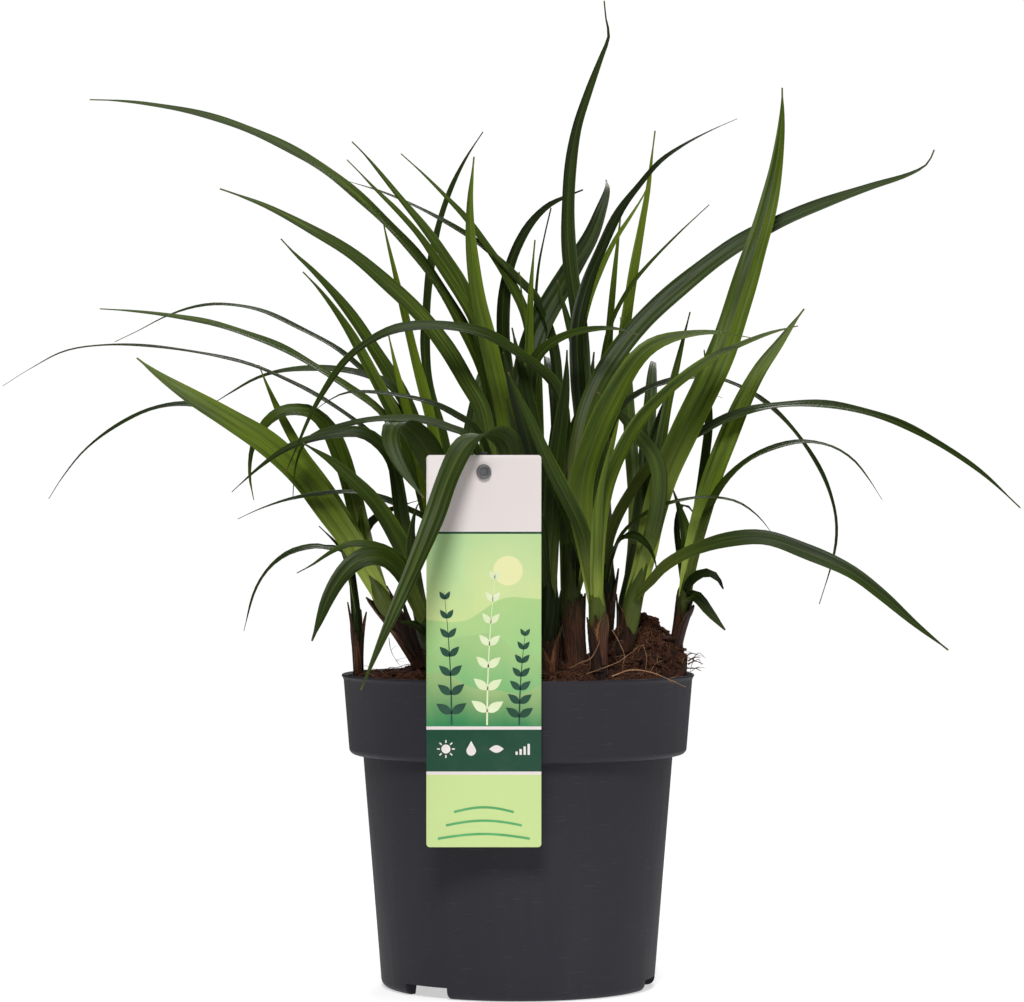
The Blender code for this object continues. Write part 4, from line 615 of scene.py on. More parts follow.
leafLook = {
    "deep": (0.0075, 0.0135, 0.0020),
    "middle": (0.030, 0.053, 0.0040),
    "lime": (0.140, 0.205, 0.010),
    "spans": ((0.0, 0.55), (0.42, 1.05)),
    "under": (0.056, 0.080, 0.018),
    "rib": (0.150, 0.185, 0.035),
    "base": (0.380, 0.470, 0.090),
    "baseSpan": (0.04, 0.38),
    "tip": (0.20, 0.13, 0.045),
    "tipSpan": (0.978, 1.0),
    "streak": (6.0, 7.0, 31.0),
    "patch": (1.6, 24.0, 17.0),
    "fleck": (3.0, 90.0, 50.0),
    "fleckSpan": (0.70, 0.78),
    "ribs": 3,
    "ribDepth": 0.00016,
    "roughness": 0.46,
    "specular": 0.16,
    "coat": 0.04,
    "coatRoughness": 0.30,
}

sheathLook = {
    "dark": (0.012, 0.005, 0.003),
    "brown": (0.105, 0.034, 0.014),
    "straw": (0.56, 0.27, 0.11),
    "spans": ((0.0, 0.55), (0.5, 1.05)),
    "fibre": (44, 30.0, 20.0),
    "patch": (3.0, 55.0, 9.0),
    "greenFrom": 0.55,
    "fibreDepth": 0.00030,
    "roughness": 0.58,
    "specular": 0.35,
}

potLook = {
    "plastic": (0.0245, 0.0234, 0.0300),
    "worn": (0.037, 0.036, 0.043),
    "dust": (0.070, 0.055, 0.045),
    "scratch": (0.12, 0.12, 0.125),
    "rimDust": (0.128, 0.154),
    "footDust": (0.002, 0.020),
    "streakScale": 300.0,
    "depth": 0.00010,
    "roughness": 0.60,
    "specular": 0.15,
}

soilLook = {
    "dark": (0.012, 0.0050, 0.0026),
    "peat": (0.079, 0.027, 0.0125),
    "light": (0.170, 0.076, 0.040),
    "spans": ((0.0, 0.6), (0.62, 1.05)),
    "crumbScale": 420.0,
    "clodScale": 260.0,
    "depth": 0.0011,
    "roughness": 0.90,
    "specular": 0.25,
}

rootLook = {
    "brown": (0.055, 0.022, 0.010),
    "tan": (0.17, 0.068, 0.028),
    "pale": (0.34, 0.19, 0.095),
    "spans": ((0.0, 0.5), (0.5, 1.0)),
    "roughness": 0.66,
    "specular": 0.35,
}

labelLook = {
    "white": (0.77, 0.70, 0.685),
    "dark": (0.011, 0.062, 0.034),
    "light": (0.560, 0.700, 0.290),
    "soiled": (0.55, 0.53, 0.48),
    "sky": (0.42, 0.66, 0.30),
    "haze": (0.62, 0.72, 0.30),
    "sun": (0.80, 0.80, 0.42),
    "sunPlace": (0.42, 0.80),
    "pale": (0.72, 0.80, 0.50),
    "leaf": (0.080, 0.36, 0.12),
    "hills": (
        (0.60, 0.070, 2.1, (0.22, 0.53, 0.20)),
        (0.42, 0.060, 2.9, (0.10, 0.40, 0.15)),
        (0.22, 0.050, 2.4, (0.035, 0.23, 0.085)),
    ),
    "roughness": 0.40,
    "specular": 0.22,
    "inkRoughness": 0.42,
}


def leafMaterial(name):
    # Ribbed blade: pale towards its base, browner at its tip, greyer underneath
    made = newMaterial(name)
    look = leafLook
    spot = Wire.node("ShaderNodeUVMap", {"uv_map": "blade"})
    share, tone, under, wide = [attribute(key) for key in ("share", "tone", "under", "wide")]
    across = spot.part(0)
    fromMiddle = across.magnitude()
    blade = (across, spot.part(1), tone)
    streak = bladeNoise(blade, look["streak"])
    patch = bladeNoise(blade, look["patch"], 2.0)
    fleck = bladeNoise(blade, look["fleck"], 3.0, 0.6).step(*look["fleckSpan"])
    # Painted fold shade: one half of the blade, across its middle, is darker and the other lighter, as the
    # two faces of its fold would be lit
    half = across.step(-0.25, 0.25)
    # tone carries the leaf's painted light and shade as well as its own colour
    light = (tone + streak.swing(0.62) + patch.swing(0.55) + half.swing(0.10)).clamped()
    green = graded(light, look, "deep", "middle", "lime")
    middleLine = 1.0 - (fromMiddle * 9.0).step(0.2, 1.0)
    green = (middleLine * (0.10 + 0.30 * tone)).mix(green, look["rib"])
    green = (fromMiddle.step(0.86, 1.0) * 0.22).mix(green, look["lime"])
    green = (under * (0.28 + streak.swing(0.3))).mix(green, look["under"])
    # Paler towards the root; the amount follows tone, so it carries tone's painted light and shade too
    rootLight = 1.0 - (share + streak.swing(0.22) + patch.swing(0.10)).step(*look["baseSpan"])
    green = (rootLight * (tone * 1.25 - 0.12)).clamped().mix(green, look["base"])
    dry = (share + streak.swing(0.04) + tone.swing(0.02)).step(*look["tipSpan"])
    green = (dry * 0.55 + fleck * 0.12).clamped().mix(green, look["tip"])
    ribs = (across * math.pi * look["ribs"]).sine().magnitude()
    height = (ribs * 0.5 + streak * 0.4 - middleLine * 0.9) * wide
    return dress(
        made,
        Base_Color=green,
        Roughness=(look["roughness"] + under * 0.16 + streak.swing(0.22) + dry * 0.2).clamped(),
        Specular_IOR_Level=look["specular"],
        Coat_Weight=look["coat"],
        Coat_Roughness=look["coatRoughness"],
        Normal=bump(height, look["ribDepth"], 0.6),
    )


def sheathMaterial(name):
    # Fibrous brown leaf bases with long streaks
    made = newMaterial(name)
    look = sheathLook
    spot = Wire.node("ShaderNodeUVMap", {"uv_map": "blade"})
    across = spot.part(0)
    tone = attribute("tone")
    blade = (across, spot.part(1), tone)
    fibre = bladeNoise(blade, look["fibre"], 4.0, 0.6)
    patch = bladeNoise(blade, look["patch"])
    warm = (tone * 0.50 + fibre.swing(2.2) + patch.swing(1.4)).clamped()
    brown = graded(warm, look, "dark", "brown", "straw")
    green = (attribute("share") - look["greenFrom"] + fibre.swing(0.4)) * 1.1
    brown = (green.clamped() * tone).mix(brown, leafLook["middle"])
    height = fibre * 1.4 + 0.4 * (across * 30.0).sine()
    return dress(
        made,
        Base_Color=brown,
        Roughness=(look["roughness"] + fibre.swing(0.25)).clamped(),
        Specular_IOR_Level=look["specular"],
        Normal=bump(height, look["fibreDepth"], 0.9),
    )


def potMaterial(name):
    # Moulded anthracite plastic: fine upright streaks, scattered scuffs, peat dust at the rim and the foot
    made = newMaterial(name)
    look = potLook
    where = place()
    streak = noise(where.stretched(1.0, 1.0, 0.035), look["streakScale"], 3.0, 0.6)
    broad = noise(where.stretched(1.0, 1.0, 0.12), 42.0, 2.0)
    grain = noise(where, 1900.0, 2.0)
    height = where.part(2)
    worn = (broad - 0.42).clamped() * 0.9 + streak.swing(0.55)
    colour = worn.clamped().mix(look["plastic"], look["worn"])
    rimDust = height.step(*look["rimDust"]) * noise(where, 170.0, 5.0, 0.7).step(0.56, 0.75)
    footDust = (1.0 - height.step(*look["footDust"])) * noise(where, 120.0, 5.0, 0.7).step(0.55, 0.8)
    colour = (rimDust * 0.32 + footDust * 0.35).clamped().mix(colour, look["dust"])
    scratch = noise(where.stretched(0.5, 0.5, 5.5), 210.0, 2.0, 0.5, 0.3).step(0.66, 0.70)
    colour = (scratch * 0.10).mix(colour, look["scratch"])
    rough = look["roughness"] + streak.swing(0.20) + broad.swing(0.16) + rimDust * 0.30
    return dress(
        made,
        Base_Color=colour,
        Roughness=rough.clamped(),
        Specular_IOR_Level=look["specular"],
        Normal=bump(streak * 0.7 + grain * 0.45 + broad * 0.8, look["depth"], 0.60),
    )


def soilMaterial(name, shade=0.0):
    made = newMaterial(name)
    look = soilLook
    where = place()
    crumbs = noise(where, look["crumbScale"], 6.0, 0.68)
    clod = Wire.node("ShaderNodeTexVoronoi", {}, {"Vector": where, "Scale": look["clodScale"]})
    broad = noise(where, 60.0)
    warm = ((crumbs - 0.32) * 1.5 + broad.swing(0.5) + shade).clamped()
    colour = graded(warm, look, "dark", "peat", "light")
    speck = noise(where.stretched(1.0, 1.0, 2.4), 900.0, 3.0, 0.6).step(0.70, 0.74)
    colour = (speck * 0.7).mix(colour, rootLook["tan"])
    return dress(
        made,
        Base_Color=colour,
        Roughness=(look["roughness"] + crumbs.swing(0.15)).clamped(),
        Specular_IOR_Level=look["specular"],
        Normal=bump(crumbs * 1.2 - clod * 0.9 + broad * 0.5, look["depth"], 0.9),
    )


def rootMaterial(name):
    made = newMaterial(name)
    look = rootLook
    fine = noise(place(), 700.0, 4.0, 0.6)
    warm = (attribute("tone") + fine.swing(0.7)).clamped()
    return dress(
        made,
        Base_Color=graded(warm, look, "brown", "tan", "pale"),
        Roughness=(look["roughness"] + fine.swing(0.2)).clamped(),
        Specular_IOR_Level=look["specular"],
        Normal=bump(fine, 0.0002, 0.7),
    )


def plasticMaterial(name, colour, roughness):
    made = newMaterial(name)
    where = place()
    cloud = noise(where, 90.0)
    lighter = tuple(min(1.0, value * 1.7 + 0.01) for value in colour)
    return dress(
        made,
        Base_Color=((cloud - 0.45).clamped() * 1.2).clamped().mix(colour, lighter),
        Roughness=(roughness + cloud.swing(0.2)).clamped(),
        Specular_IOR_Level=0.5,
        Normal=bump(noise(where, 1400.0), 0.00006, 0.5),
    )


# Mesh helpers


def smoothed(mesh, sharp):
    # Shaded smooth, with the edges above this angle in degrees kept sharp
    mesh.shade_smooth()
    mesh.set_sharp_from_angle(angle=math.radians(sharp))
    return mesh


def takenFrom(name, shape):
    made = bpy.data.meshes.new(name)
    shape.to_mesh(made)
    shape.free()
    return made


def buildMesh(name, points, faces, sharp, spots=None, numbers=None):
    made = bpy.data.meshes.new(name)
    points = np.asarray(points, dtype=np.float32).reshape(-1, 3)
    made.from_pydata(points.tolist(), [], [list(face) for face in faces])
    made.update()
    if spots is not None:
        corners = np.zeros(len(made.loops), dtype=np.int32)
        made.loops.foreach_get("vertex_index", corners)
        layer = made.uv_layers.new(name="blade")
        layer.data.foreach_set("uv", np.asarray(spots, dtype=np.float32)[corners].ravel())
    for key, values in (numbers or {}).items():
        layer = made.attributes.new(key, "FLOAT", "POINT")
        layer.data.foreach_set("value", np.asarray(values, dtype=np.float32))
    return smoothed(made, sharp)


def addObject(name, mesh, look):
    made = bpy.data.objects.new(name, mesh)
    bpy.context.scene.collection.objects.link(made)
    made.data.materials.clear()
    made.data.materials.append(look)
    return made


class Builder:
    # Gathers rings of points into one mesh, with its surface map and numbers
    def __init__(self):
        self.points = []
        self.faces = []
        self.spots = []
        self.numbers = {"share": [], "tone": [], "under": [], "wide": []}
        self.count = 0

    def rings(self, rings, spots, share, tone, under=0.0, wide=1.0):
        rings = np.asarray(rings)
        rows, sides = rings.shape[:2]
        start = self.count
        for row in range(start, start + (rows - 1) * sides, sides):
            for i in range(sides):
                a = row + i
                b = row + (i + 1) % sides
                self.faces.append((a, b, b + sides, a + sides))
        self.faces.append(range(start + sides - 1, start - 1, -1))
        self.faces.append(range(start + (rows - 1) * sides, start + rows * sides))
        self.points.append(rings.reshape(-1, 3))
        self.spots.append(np.broadcast_to(spots, (rows, sides, 2)).reshape(-1, 2))
        for key, values in zip(self.numbers, (share, tone, under, wide)):
            self.numbers[key].append(np.broadcast_to(values, (rows, sides)).ravel())
        self.count += rows * sides

    def made(self, name, look, sharp):
        numbers = {key: np.concatenate(values) for key, values in self.numbers.items()}
        spots = np.concatenate(self.spots)
        mesh = buildMesh(name, np.concatenate(self.points), self.faces, sharp, spots, numbers)
        return addObject(name, mesh, look)


def anglesOf(sides):
    return np.linspace(0, math.tau, sides, endpoint=False)


def outward(line, angle, aid=(0.0, 1.0, 0.0)):
    # Directions away from a line, for each of its stations and each angle about it
    ahead = unit(np.gradient(line, axis=0))
    side = unit(np.cross(ahead, aid))
    back = np.cross(side, ahead)
    return side[:, None] * np.cos(angle)[:, None] + back[:, None] * np.sin(angle)[:, None]


def stripMap(columns, along):
    # The surface map of a strip with an upper and a lower face
    across = np.concatenate([columns, columns[::-1]])
    return np.stack(np.broadcast_arrays(across[None], along[:, None]), axis=2)


# Fine leaves

bladeForm = {
    "columns": 9,
    "halfWidth": 0.006,
    "thickness": 0.00042,
    "edgeThickness": 0.00016,
    "thinsBelow": 0.0012,
    "pleat": 0.085,
    "waveHeight": 0.00035,
    "waveLength": 0.043,
    "fullWave": 0.010,
    "toneSpread": 0.14,
    "bladeSharp": 70,
    "coreRadii": (0.94, 0.98, 0.80),
    "coreOverlap": 0.010,
    "coreStem": {"sides": 20, "flutes": 2, "depth": 0.10, "twist": 1.2},
}


def addBlade(builder, leaf, random):
    # The same course, width and turn as the part's leaf, with a pleated section and thin edges
    form = bladeForm
    spots = np.linspace(-1, 1, form["columns"])
    rows = len(leaf.line)
    share = np.linspace(0, 1, rows)
    along = share * leafForm["station"] * rows
    upperFace = leafSurface(leaf.line, leaf.width, leaf.turns, spots)
    _, upper = leafFrame(leaf.line, leaf.turns)
    half = halfWidth(share, leaf.width)[:, None]
    pleat = form["pleat"] * np.sin(np.abs(spots) * math.pi * 2.0) * half
    phase = random.uniform(0, math.tau)
    calm = np.sin(share * math.pi) * (leaf.width / form["fullWave"])
    swell = np.sin(along / form["waveLength"] * math.tau + phase)[:, None]
    ripple = np.sin(along / form["waveLength"] * 4.1 + phase * 2)[:, None]
    wave = swell * spots + 0.6 * ripple * np.abs(spots)
    lift = pleat + wave * form["waveHeight"] * calm[:, None]
    upperFace = upperFace + upper[:, None] * lift[:, :, None]
    thick = form["edgeThickness"] + (form["thickness"] - form["edgeThickness"]) * (1 - np.abs(spots)) ** 0.7
    thick = thick[None] * np.clip(half / form["thinsBelow"], 0.35, 1)
    lowerFace = upperFace - upper[:, None] * thick[:, :, None]
    rings = np.concatenate([upperFace, lowerFace[:, ::-1]], axis=1)
    # The blade's tone takes the leaf's lightness, painted light and shade included
    tone = np.clip(leaf.light + random.uniform(-form["toneSpread"], form["toneSpread"]), 0.02, 1)
    under = np.repeat((0.0, 1.0), form["columns"])
    builder.rings(rings, stripMap(spots, along), share[:, None], tone, under, half / form["halfWidth"])


def addStem(builder, line, radii, tone, shares, form):
    # A stem of wrapped leaf bases: its section is fluted and turns as it rises
    angle = anglesOf(form["sides"])
    flutes = form["flutes"]
    depth = form["depth"]
    turn = np.linspace(0, form["twist"], len(line))[:, None] + angle
    radius = radii[:, None] * (1 + depth * np.cos(flutes * turn) - depth * 0.4)
    rings = line[:, None] + outward(line, angle) * radius[:, :, None]
    across = np.sin(flutes * turn) * 0.95
    along = np.broadcast_to(np.linspace(0, 0.06, len(line))[:, None], across.shape)
    shares = np.linspace(*shares, len(line))[:, None]
    builder.rings(rings, np.stack([across, along], axis=2), shares, tone)


def makeTufts():
    form = bladeForm
    allLeaves = [Leaf(shoot, *row) for shoot, rows in leaves.items() for row in rows]
    bendClear(allLeaves + [Core(shoot) for shoot in shoots])
    look = leafMaterial("sedge_leaf")
    for number, shoot in enumerate(shoots):
        random = np.random.default_rng(100 + number)
        builder = Builder()
        own = [leaf for leaf in allLeaves if leaf.shoot == shoot]
        _, _, top, radii, reach = shoots[shoot]
        _, ground, crown = stemLine(shoot)
        mouth = ground + (crown - ground) * reach
        foot = mouth - unit(crown - ground) * form["coreOverlap"]
        core = [size * mm * share for size, share in zip((radii[1], *radii[1:]), form["coreRadii"])]
        line, radius = longLine([foot, crown, seen(top)], core)
        # Painted shade: the stem takes the shoot's average leaf tone, so stems of shoots whose leaves are
        # painted as shaded come out darker
        light = sum(leaf.light for leaf in own) / len(own)
        addStem(builder, line, radius, 1.1 * light - 0.20, (0.16, 0.30), form["coreStem"])
        for leaf in own:
            addBlade(builder, leaf, random)
        tuft = builder.made("leaves_" + shoot, look, form["bladeSharp"])
        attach(tuft, "root")
        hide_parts("tuft_" + shoot)
    print("leaves made")


# Brown sheaths at the foot of each shoot

scaleForm = {
    "wrap": 2.0,
    "columns": 13,
    "rows": 22,
    "thickness": 0.0003,
    "count": 7,
    "free": (1, 3, 5),
    "lift": 0.00030,
    "wave": 0.00022,
    "ragged": 0.10,
    "station": 0.001,
    "turn": 2.4,
    "sharp": 60,
    "innerShare": 0.80,
    "innerRadii": (0.9, 1, 1.02),
    "innerStem": {"sides": 24, "flutes": 3, "depth": 0.07, "twist": 0.9},
}


def addScale(builder, line, radius, start, length, angle, flare, width, tone, random):
    # One old leaf base: a strip that wraps the stem, frays along its edges and ends in a free point
    form = scaleForm
    step = form["station"]
    share = np.linspace(0, 1, form["rows"])
    steps = np.arange(len(line))
    where = start * (len(line) - 1) + share * length / step
    ahead = unit(line[-1] - line[-4])
    base = pointsAt(where, steps, line) + ahead * np.maximum(where - steps[-1], 0)[:, None] * step
    thick = np.interp(where, steps, radius) + form["lift"]
    side = unit(np.cross(ahead, (0.0, 1.0, 0.0)))
    back = np.cross(side, ahead)
    fray = random.normal(0, form["ragged"], (form["rows"], 2)) * share[:, None]
    half = form["wrap"] * width * (1 - share**1.7) ** 0.9
    columns = np.linspace(-1, 1, form["columns"])
    edges = np.where(columns[None] < 0, (1 + fray[:, :1]), (1 + fray[:, 1:]))
    around = angle + 0.25 * share[:, None] + columns * (half[:, None] * edges + 0.03)
    out = side * np.cos(around)[:, :, None] + back * np.sin(around)[:, :, None]
    away = thick + flare * share**2.5
    wave = form["wave"] * np.sin(columns * 9 + angle * 3)[None] * share[:, None]
    outer, inner = [
        base[:, None] + out * (away[:, None] + wave + extra)[:, :, None] for extra in (form["thickness"], 0.0)
    ]
    rings = np.concatenate([outer, inner[:, ::-1]], axis=1)
    builder.rings(rings, stripMap(columns, share * length), share[:, None], tone)


def makeSheaths():
    look = sheathMaterial("brown_leaf_base")
    form = scaleForm
    for number, shoot in enumerate(shoots):
        random = np.random.default_rng(200 + number)
        builder = Builder()
        foot, ground, crown = stemLine(shoot)
        size = shoots[shoot][3][0] * mm
        mouth = ground + (crown - ground) * shoots[shoot][4]
        visible = np.linalg.norm(mouth - ground)
        inner = ground + (mouth - ground) * form["innerShare"]
        innerRadii = [size * share for share in form["innerRadii"]]
        addStem(builder, *longLine([foot, ground, inner], innerRadii), 0.25, (0, 0.4), form["innerStem"])
        line, radius = longLine([foot, ground, mouth], (size, size, size), form["station"])
        buried = np.linalg.norm(ground - foot)
        soilShare = buried / (buried + visible)
        for i in range(form["count"]):
            share = i / (form["count"] - 1)
            start = soilShare * 0.92 + (1 - soilShare) * 0.45 * share + random.uniform(-0.02, 0.02)
            length = visible * random.uniform(0.45, 0.75) + 0.004
            flare = random.uniform(0.0002, 0.0012)
            if i in form["free"]:
                # A free tip stands away from the stem
                length = visible * 0.8 + random.uniform(0.004, 0.010)
                flare = random.uniform(0.0014, 0.0036)
            angle = i * form["turn"] + random.uniform(-0.3, 0.3) + number
            width = random.uniform(0.35, 0.80)
            tone = random.uniform(0.10, 1.0)
            addScale(builder, line, radius, start, length, angle, flare, width, tone, random)
        sheath = builder.made("sheaths_" + shoot, look, form["sharp"])
        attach(sheath, "root")
        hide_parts("sheath_" + shoot)
    print("sheaths made")


# Pot

potForm = {
    "height": 0.152,
    "rimRadius": 0.085,
    "collarDrop": 0.039,
    "collarFootRadius": 0.0823,
    "bodyTopRadius": 0.0755,
    "bodyFootRadius": 0.0667,
    "wall": 0.0015,
    "bead": 0.0011,
    "footHeight": 0.006,
    "floor": 0.002,
    "ringRadius": 0.0599,
    "footCorner": 0.004,
    "collarCorner": 0.003,
    "sides": 160,
    "sharp": 38,
    "notchHeight": 0.0055,
    "notchWidth": 0.027,
    "notchTurns": (-42, 78, 198),
    "drainRadius": 0.005,
    "drainCircle": 0.05,
    "drainCount": 6,
    "cutDepth": 0.02,
}


def arc(centre, radius, start, stop, steps=6):
    angles = [math.radians(start + (stop - start) * i / steps) for i in range(steps + 1)]
    return [(centre[0] + radius * math.cos(t), centre[1] + radius * math.sin(t)) for t in angles]


def lathe(name, profile, sides):
    shape = bmesh.new()
    corners = [shape.verts.new((radius, 0, height)) for radius, height in profile]
    edges = [shape.edges.new(pair) for pair in zip(corners, corners[1:])]
    bmesh.ops.spin(shape, geom=corners + edges, cent=(0, 0, 0), axis=(0, 0, 1), angle=math.tau, steps=sides)
    bmesh.ops.remove_doubles(shape, verts=shape.verts, dist=0.000005)
    bmesh.ops.recalc_face_normals(shape, faces=shape.faces)
    return smoothed(takenFrom(name, shape), potForm["sharp"])


def cut(target, cutters):
    group = bpy.data.collections.new(target.name + "_cutters")
    bpy.context.scene.collection.children.link(group)
    for cutter in cutters:
        for holder in list(cutter.users_collection):
            holder.objects.unlink(cutter)
        group.objects.link(cutter)
    boolean = target.modifiers.new("cut", "BOOLEAN")
    boolean.operation = "DIFFERENCE"
    boolean.operand_type = "COLLECTION"
    boolean.collection = group
    bpy.context.view_layer.update()
    mesh = bpy.data.meshes.new_from_object(target.evaluated_get(bpy.context.evaluated_depsgraph_get()))
    target.modifiers.remove(boolean)
    target.data = smoothed(mesh, potForm["sharp"])
    for cutter in cutters:
        bpy.data.objects.remove(cutter, do_unlink=True)
    bpy.data.collections.remove(group)


def makePot():
    form = potForm
    height, wall, bead, ring = [form[key] for key in ("height", "wall", "bead", "ringRadius")]
    rim, collar = form["rimRadius"], form["collarFootRadius"]
    bodyTop, bodyFoot = form["bodyTopRadius"], form["bodyFootRadius"]
    collarFoot = height - form["collarDrop"]
    corner = form["footCorner"]
    bend = form["collarCorner"]
    halfBead = bead * 0.7
    outer = [(0, form["footHeight"]), (ring - 0.001, form["footHeight"]), (ring, 0)]
    outer += arc((bodyFoot - corner, corner), corner, -90, 0, 8)
    for share in (1 / 6, 2 / 6, 3 / 6, 4 / 6, 5 / 6):
        outer.append((bodyFoot + (bodyTop - bodyFoot) * share, corner + (collarFoot - corner) * share))
    outer.append((bodyTop, collarFoot))
    outer += arc((collar - bend, collarFoot + bend), bend, -90, 0, 8)
    outer.append((rim, height - 2.6 * bead))
    outer += arc((rim + 0.0002, height - halfBead), halfBead, -60, 140, 10)
    floorTop = form["footHeight"] + form["floor"]
    inside = [(rim - wall, height - bead), (collar - wall, collarFoot + 2 * wall)]
    inside += [(bodyTop - wall, collarFoot + wall), (bodyFoot - wall, floorTop), (0, floorTop)]
    mesh = lathe("pot_moulding", outer + inside, form["sides"])
    pot = addObject("pot_moulding", mesh, potMaterial("anthracite"))
    cutters = []
    for turn in form["notchTurns"]:
        bpy.ops.mesh.primitive_cube_add(size=1)
        notch = bpy.context.object
        angle = math.radians(turn - 90)
        notch.location = (math.cos(angle) * bodyFoot, math.sin(angle) * bodyFoot, 0)
        notch.rotation_euler = (0, 0, angle)
        notch.scale = (form["cutDepth"], form["notchWidth"], 2 * form["notchHeight"])
        cutters.append(notch)
    for i in range(form["drainCount"]):
        angle = math.tau * (i + 0.5) / form["drainCount"]
        bpy.ops.mesh.primitive_cylinder_add(vertices=32, radius=form["drainRadius"], depth=form["cutDepth"])
        drain = bpy.context.object
        circle = form["drainCircle"]
        drain.location = (math.cos(angle) * circle, math.sin(angle) * circle, form["footHeight"])
        cutters.append(drain)
    cut(pot, cutters)
    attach(pot, "root")
    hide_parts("pot")
    print("pot made")


# Soil, crumbs and loose roots

soilForm = {
    "level": 0.1475,
    "radius": 0.0829,
    "mound": (0.0625, 0.002),
    "moundHeight": 0.0265,
    "moundReach": 0.0155,
    "rise": 0.009,
    "riseReach": 0.045,
    "lump": 0.0013,
    "rough": 0.0010,
    "edgeEase": 0.004,
    "rings": 110,
    "sides": 260,
    "crumbs": 2600,
    "clods": 420,
    "roots": 150,
    "hairs": 520,
}


def soilHeight(x, y):
    form = soilForm
    mound = form["moundHeight"] * np.exp(
        -((x - form["mound"][0]) ** 2 + (y - form["mound"][1]) ** 2) / (2 * form["moundReach"] ** 2)
    )
    rise = form["rise"] * np.exp(-(x**2 + y**2) / (2 * form["riseReach"] ** 2))
    lumps = np.sin(190 * x + 3) * np.sin(230 * y + 1)
    lumps = lumps + 0.7 * np.sin(410 * x + 260 * y) + 0.6 * np.sin(520 * y - 330 * x)
    return form["level"] + mound + rise + form["lump"] * lumps


def roughness(x, y, scale, seed):
    # Smooth random heights by a few turned sine waves
    total = 0
    random = np.random.default_rng(seed)
    for octave in range(5):
        angle = random.uniform(0, math.tau)
        size = scale * 1.9**octave
        a = np.cos(angle) * x + np.sin(angle) * y
        b = np.cos(angle + 1.9) * x + np.sin(angle + 1.9) * y
        wave = np.sin(a * size + random.uniform(0, 6) + 1.3 * np.sin(b * size * 0.8))
        total = total + wave * np.sin(b * size * 1.1 + random.uniform(0, 6)) * 0.72**octave
    return total


def makeSoil():
    form = soilForm
    builder = Builder()
    angle = anglesOf(form["sides"])
    rings = []
    for share in (0.93, 0.985):
        radius = form["radius"] * share
        height = np.full(form["sides"], 0.128 + share * 0.012)
        rings.append(np.stack([radius * np.cos(angle), radius * np.sin(angle), height], axis=1))
    for ring in range(form["rings"]):
        radius = form["radius"] * (1 - ring / form["rings"]) ** 0.9 * (1 - 0.001)
        x = radius * np.cos(angle)
        y = radius * np.sin(angle)
        ease = np.clip((form["radius"] - radius) / form["edgeEase"], 0, 1)
        z = soilHeight(x, y) + form["rough"] * ease * roughness(x, y, 620, 5)
        rings.append(np.stack([x, y, z], axis=1))
    builder.rings(rings, 0.0, 0.0, 0.5)
    soil = builder.made("soil_surface", soilMaterial("peat"), 80)
    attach(soil, "root")
    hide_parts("soil")
    makeCrumbs()
    makeRoots()
    print("soil made")


def soilSpot(random, number, spread, moundSpread):
    # Two of three lie anywhere on the soil, and the third on the mound
    form = soilForm
    if number % 3:
        radius = form["radius"] * spread * math.sqrt(random.random())
        angle = random.uniform(0, math.tau)
        return radius * math.cos(angle), radius * math.sin(angle)
    return form["mound"][0] + random.normal(0, 0.011), form["mound"][1] + random.normal(0, moundSpread)


def makeCrumbs():
    form = soilForm
    random = np.random.default_rng(31)
    balls = []
    for level in (1, 2):
        shape = bmesh.new()
        bmesh.ops.create_icosphere(shape, subdivisions=level, radius=1)
        corners = np.array([vert.co for vert in shape.verts])
        balls.append((corners, [[vert.index for vert in face.verts] for face in shape.faces]))
        shape.free()
    points = []
    faces = []
    count = 0
    for number in range(form["crumbs"] + form["clods"]):
        large = number >= form["crumbs"]
        ball, sheet = balls[1 if large else 0]
        x, y = soilSpot(random, number, 0.94, 0.015)
        if math.hypot(x, y) > form["radius"] - 0.003:
            continue
        size = random.uniform(0.0011, 0.0027) if large else 0.0003 + 0.0011 * random.random() ** 2
        rough = 1 + 0.30 * np.sin(ball @ random.normal(0, 3.4, 3) + random.uniform(0, 6))
        rough = rough + 0.26 * np.sin(ball @ random.normal(0, 6.5, 3) + random.uniform(0, 6))
        stretch = random.uniform(0.45, 1.45, 3) * (1, 1, 0.8)
        crumb = ball * rough[:, None] * stretch * size
        points.append(crumb + (x, y, float(soilHeight(x, y)) + size * 0.3))
        faces += [[count + i for i in face] for face in sheet]
        count += len(ball)
    mesh = buildMesh("soil_crumbs", np.concatenate(points), faces, 50)
    crumbs = addObject("soil_crumbs", mesh, soilMaterial("peat_crumbs", 0.16))
    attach(crumbs, "root")


fibreForm = {
    "station": 0.0013,
    "smoothing": (0.1, 0.2, 0.3, 0.4, 0.3, 0.2, 0.1),
    "waver": 0.45,
    "taper": 0.35,
    "sideRoots": 3,
}

# Loose fibres read off the photograph as leaves are: radius in millimetres, tone, and the course
fibres = (
    (0.26, 0.85, 570, 668, -62, 580, 663, -66, 590, 659, -67, 596, 650, -64, 600, 640, -58),
    (0.24, 0.95, 612, 630, -40, 618, 640, -46, 624, 655, -52, 622, 668, -58),
    (0.31, 0.9, 612, 676, -74, 630, 670, -76, 650, 672, -74, 668, 679, -70, 686, 687, -66),
    (0.22, 0.75, 643, 645, -30, 646, 655, -38, 646, 668, -48, 640, 676, -56),
    (0.21, 0.8, 586, 674, -70, 600, 669, -72, 617, 662, -70, 632, 652, -62, 640, 645, -52),
    (0.19, 0.25, 612, 598, -20, 620, 606, -24, 623, 618, -26, 619, 628, -26, 613, 633, -24),
    (0.2, 0.35, 389, 638, -10, 391, 650, -16, 396, 660, -20, 404, 670, -22),
    (0.5, 0.12, 688, 661, -8, 694, 657, -8, 700, 657, -7),
    (0.44, 0.15, 688, 664, -12, 695, 661, -14, 703, 664, -15),
    (0.4, 0.1, 687, 668, -4, 695, 668, -2, 701, 671, 0),
    (0.36, 0.2, 684, 657, 4, 692, 653, 7, 698, 655, 9),
)


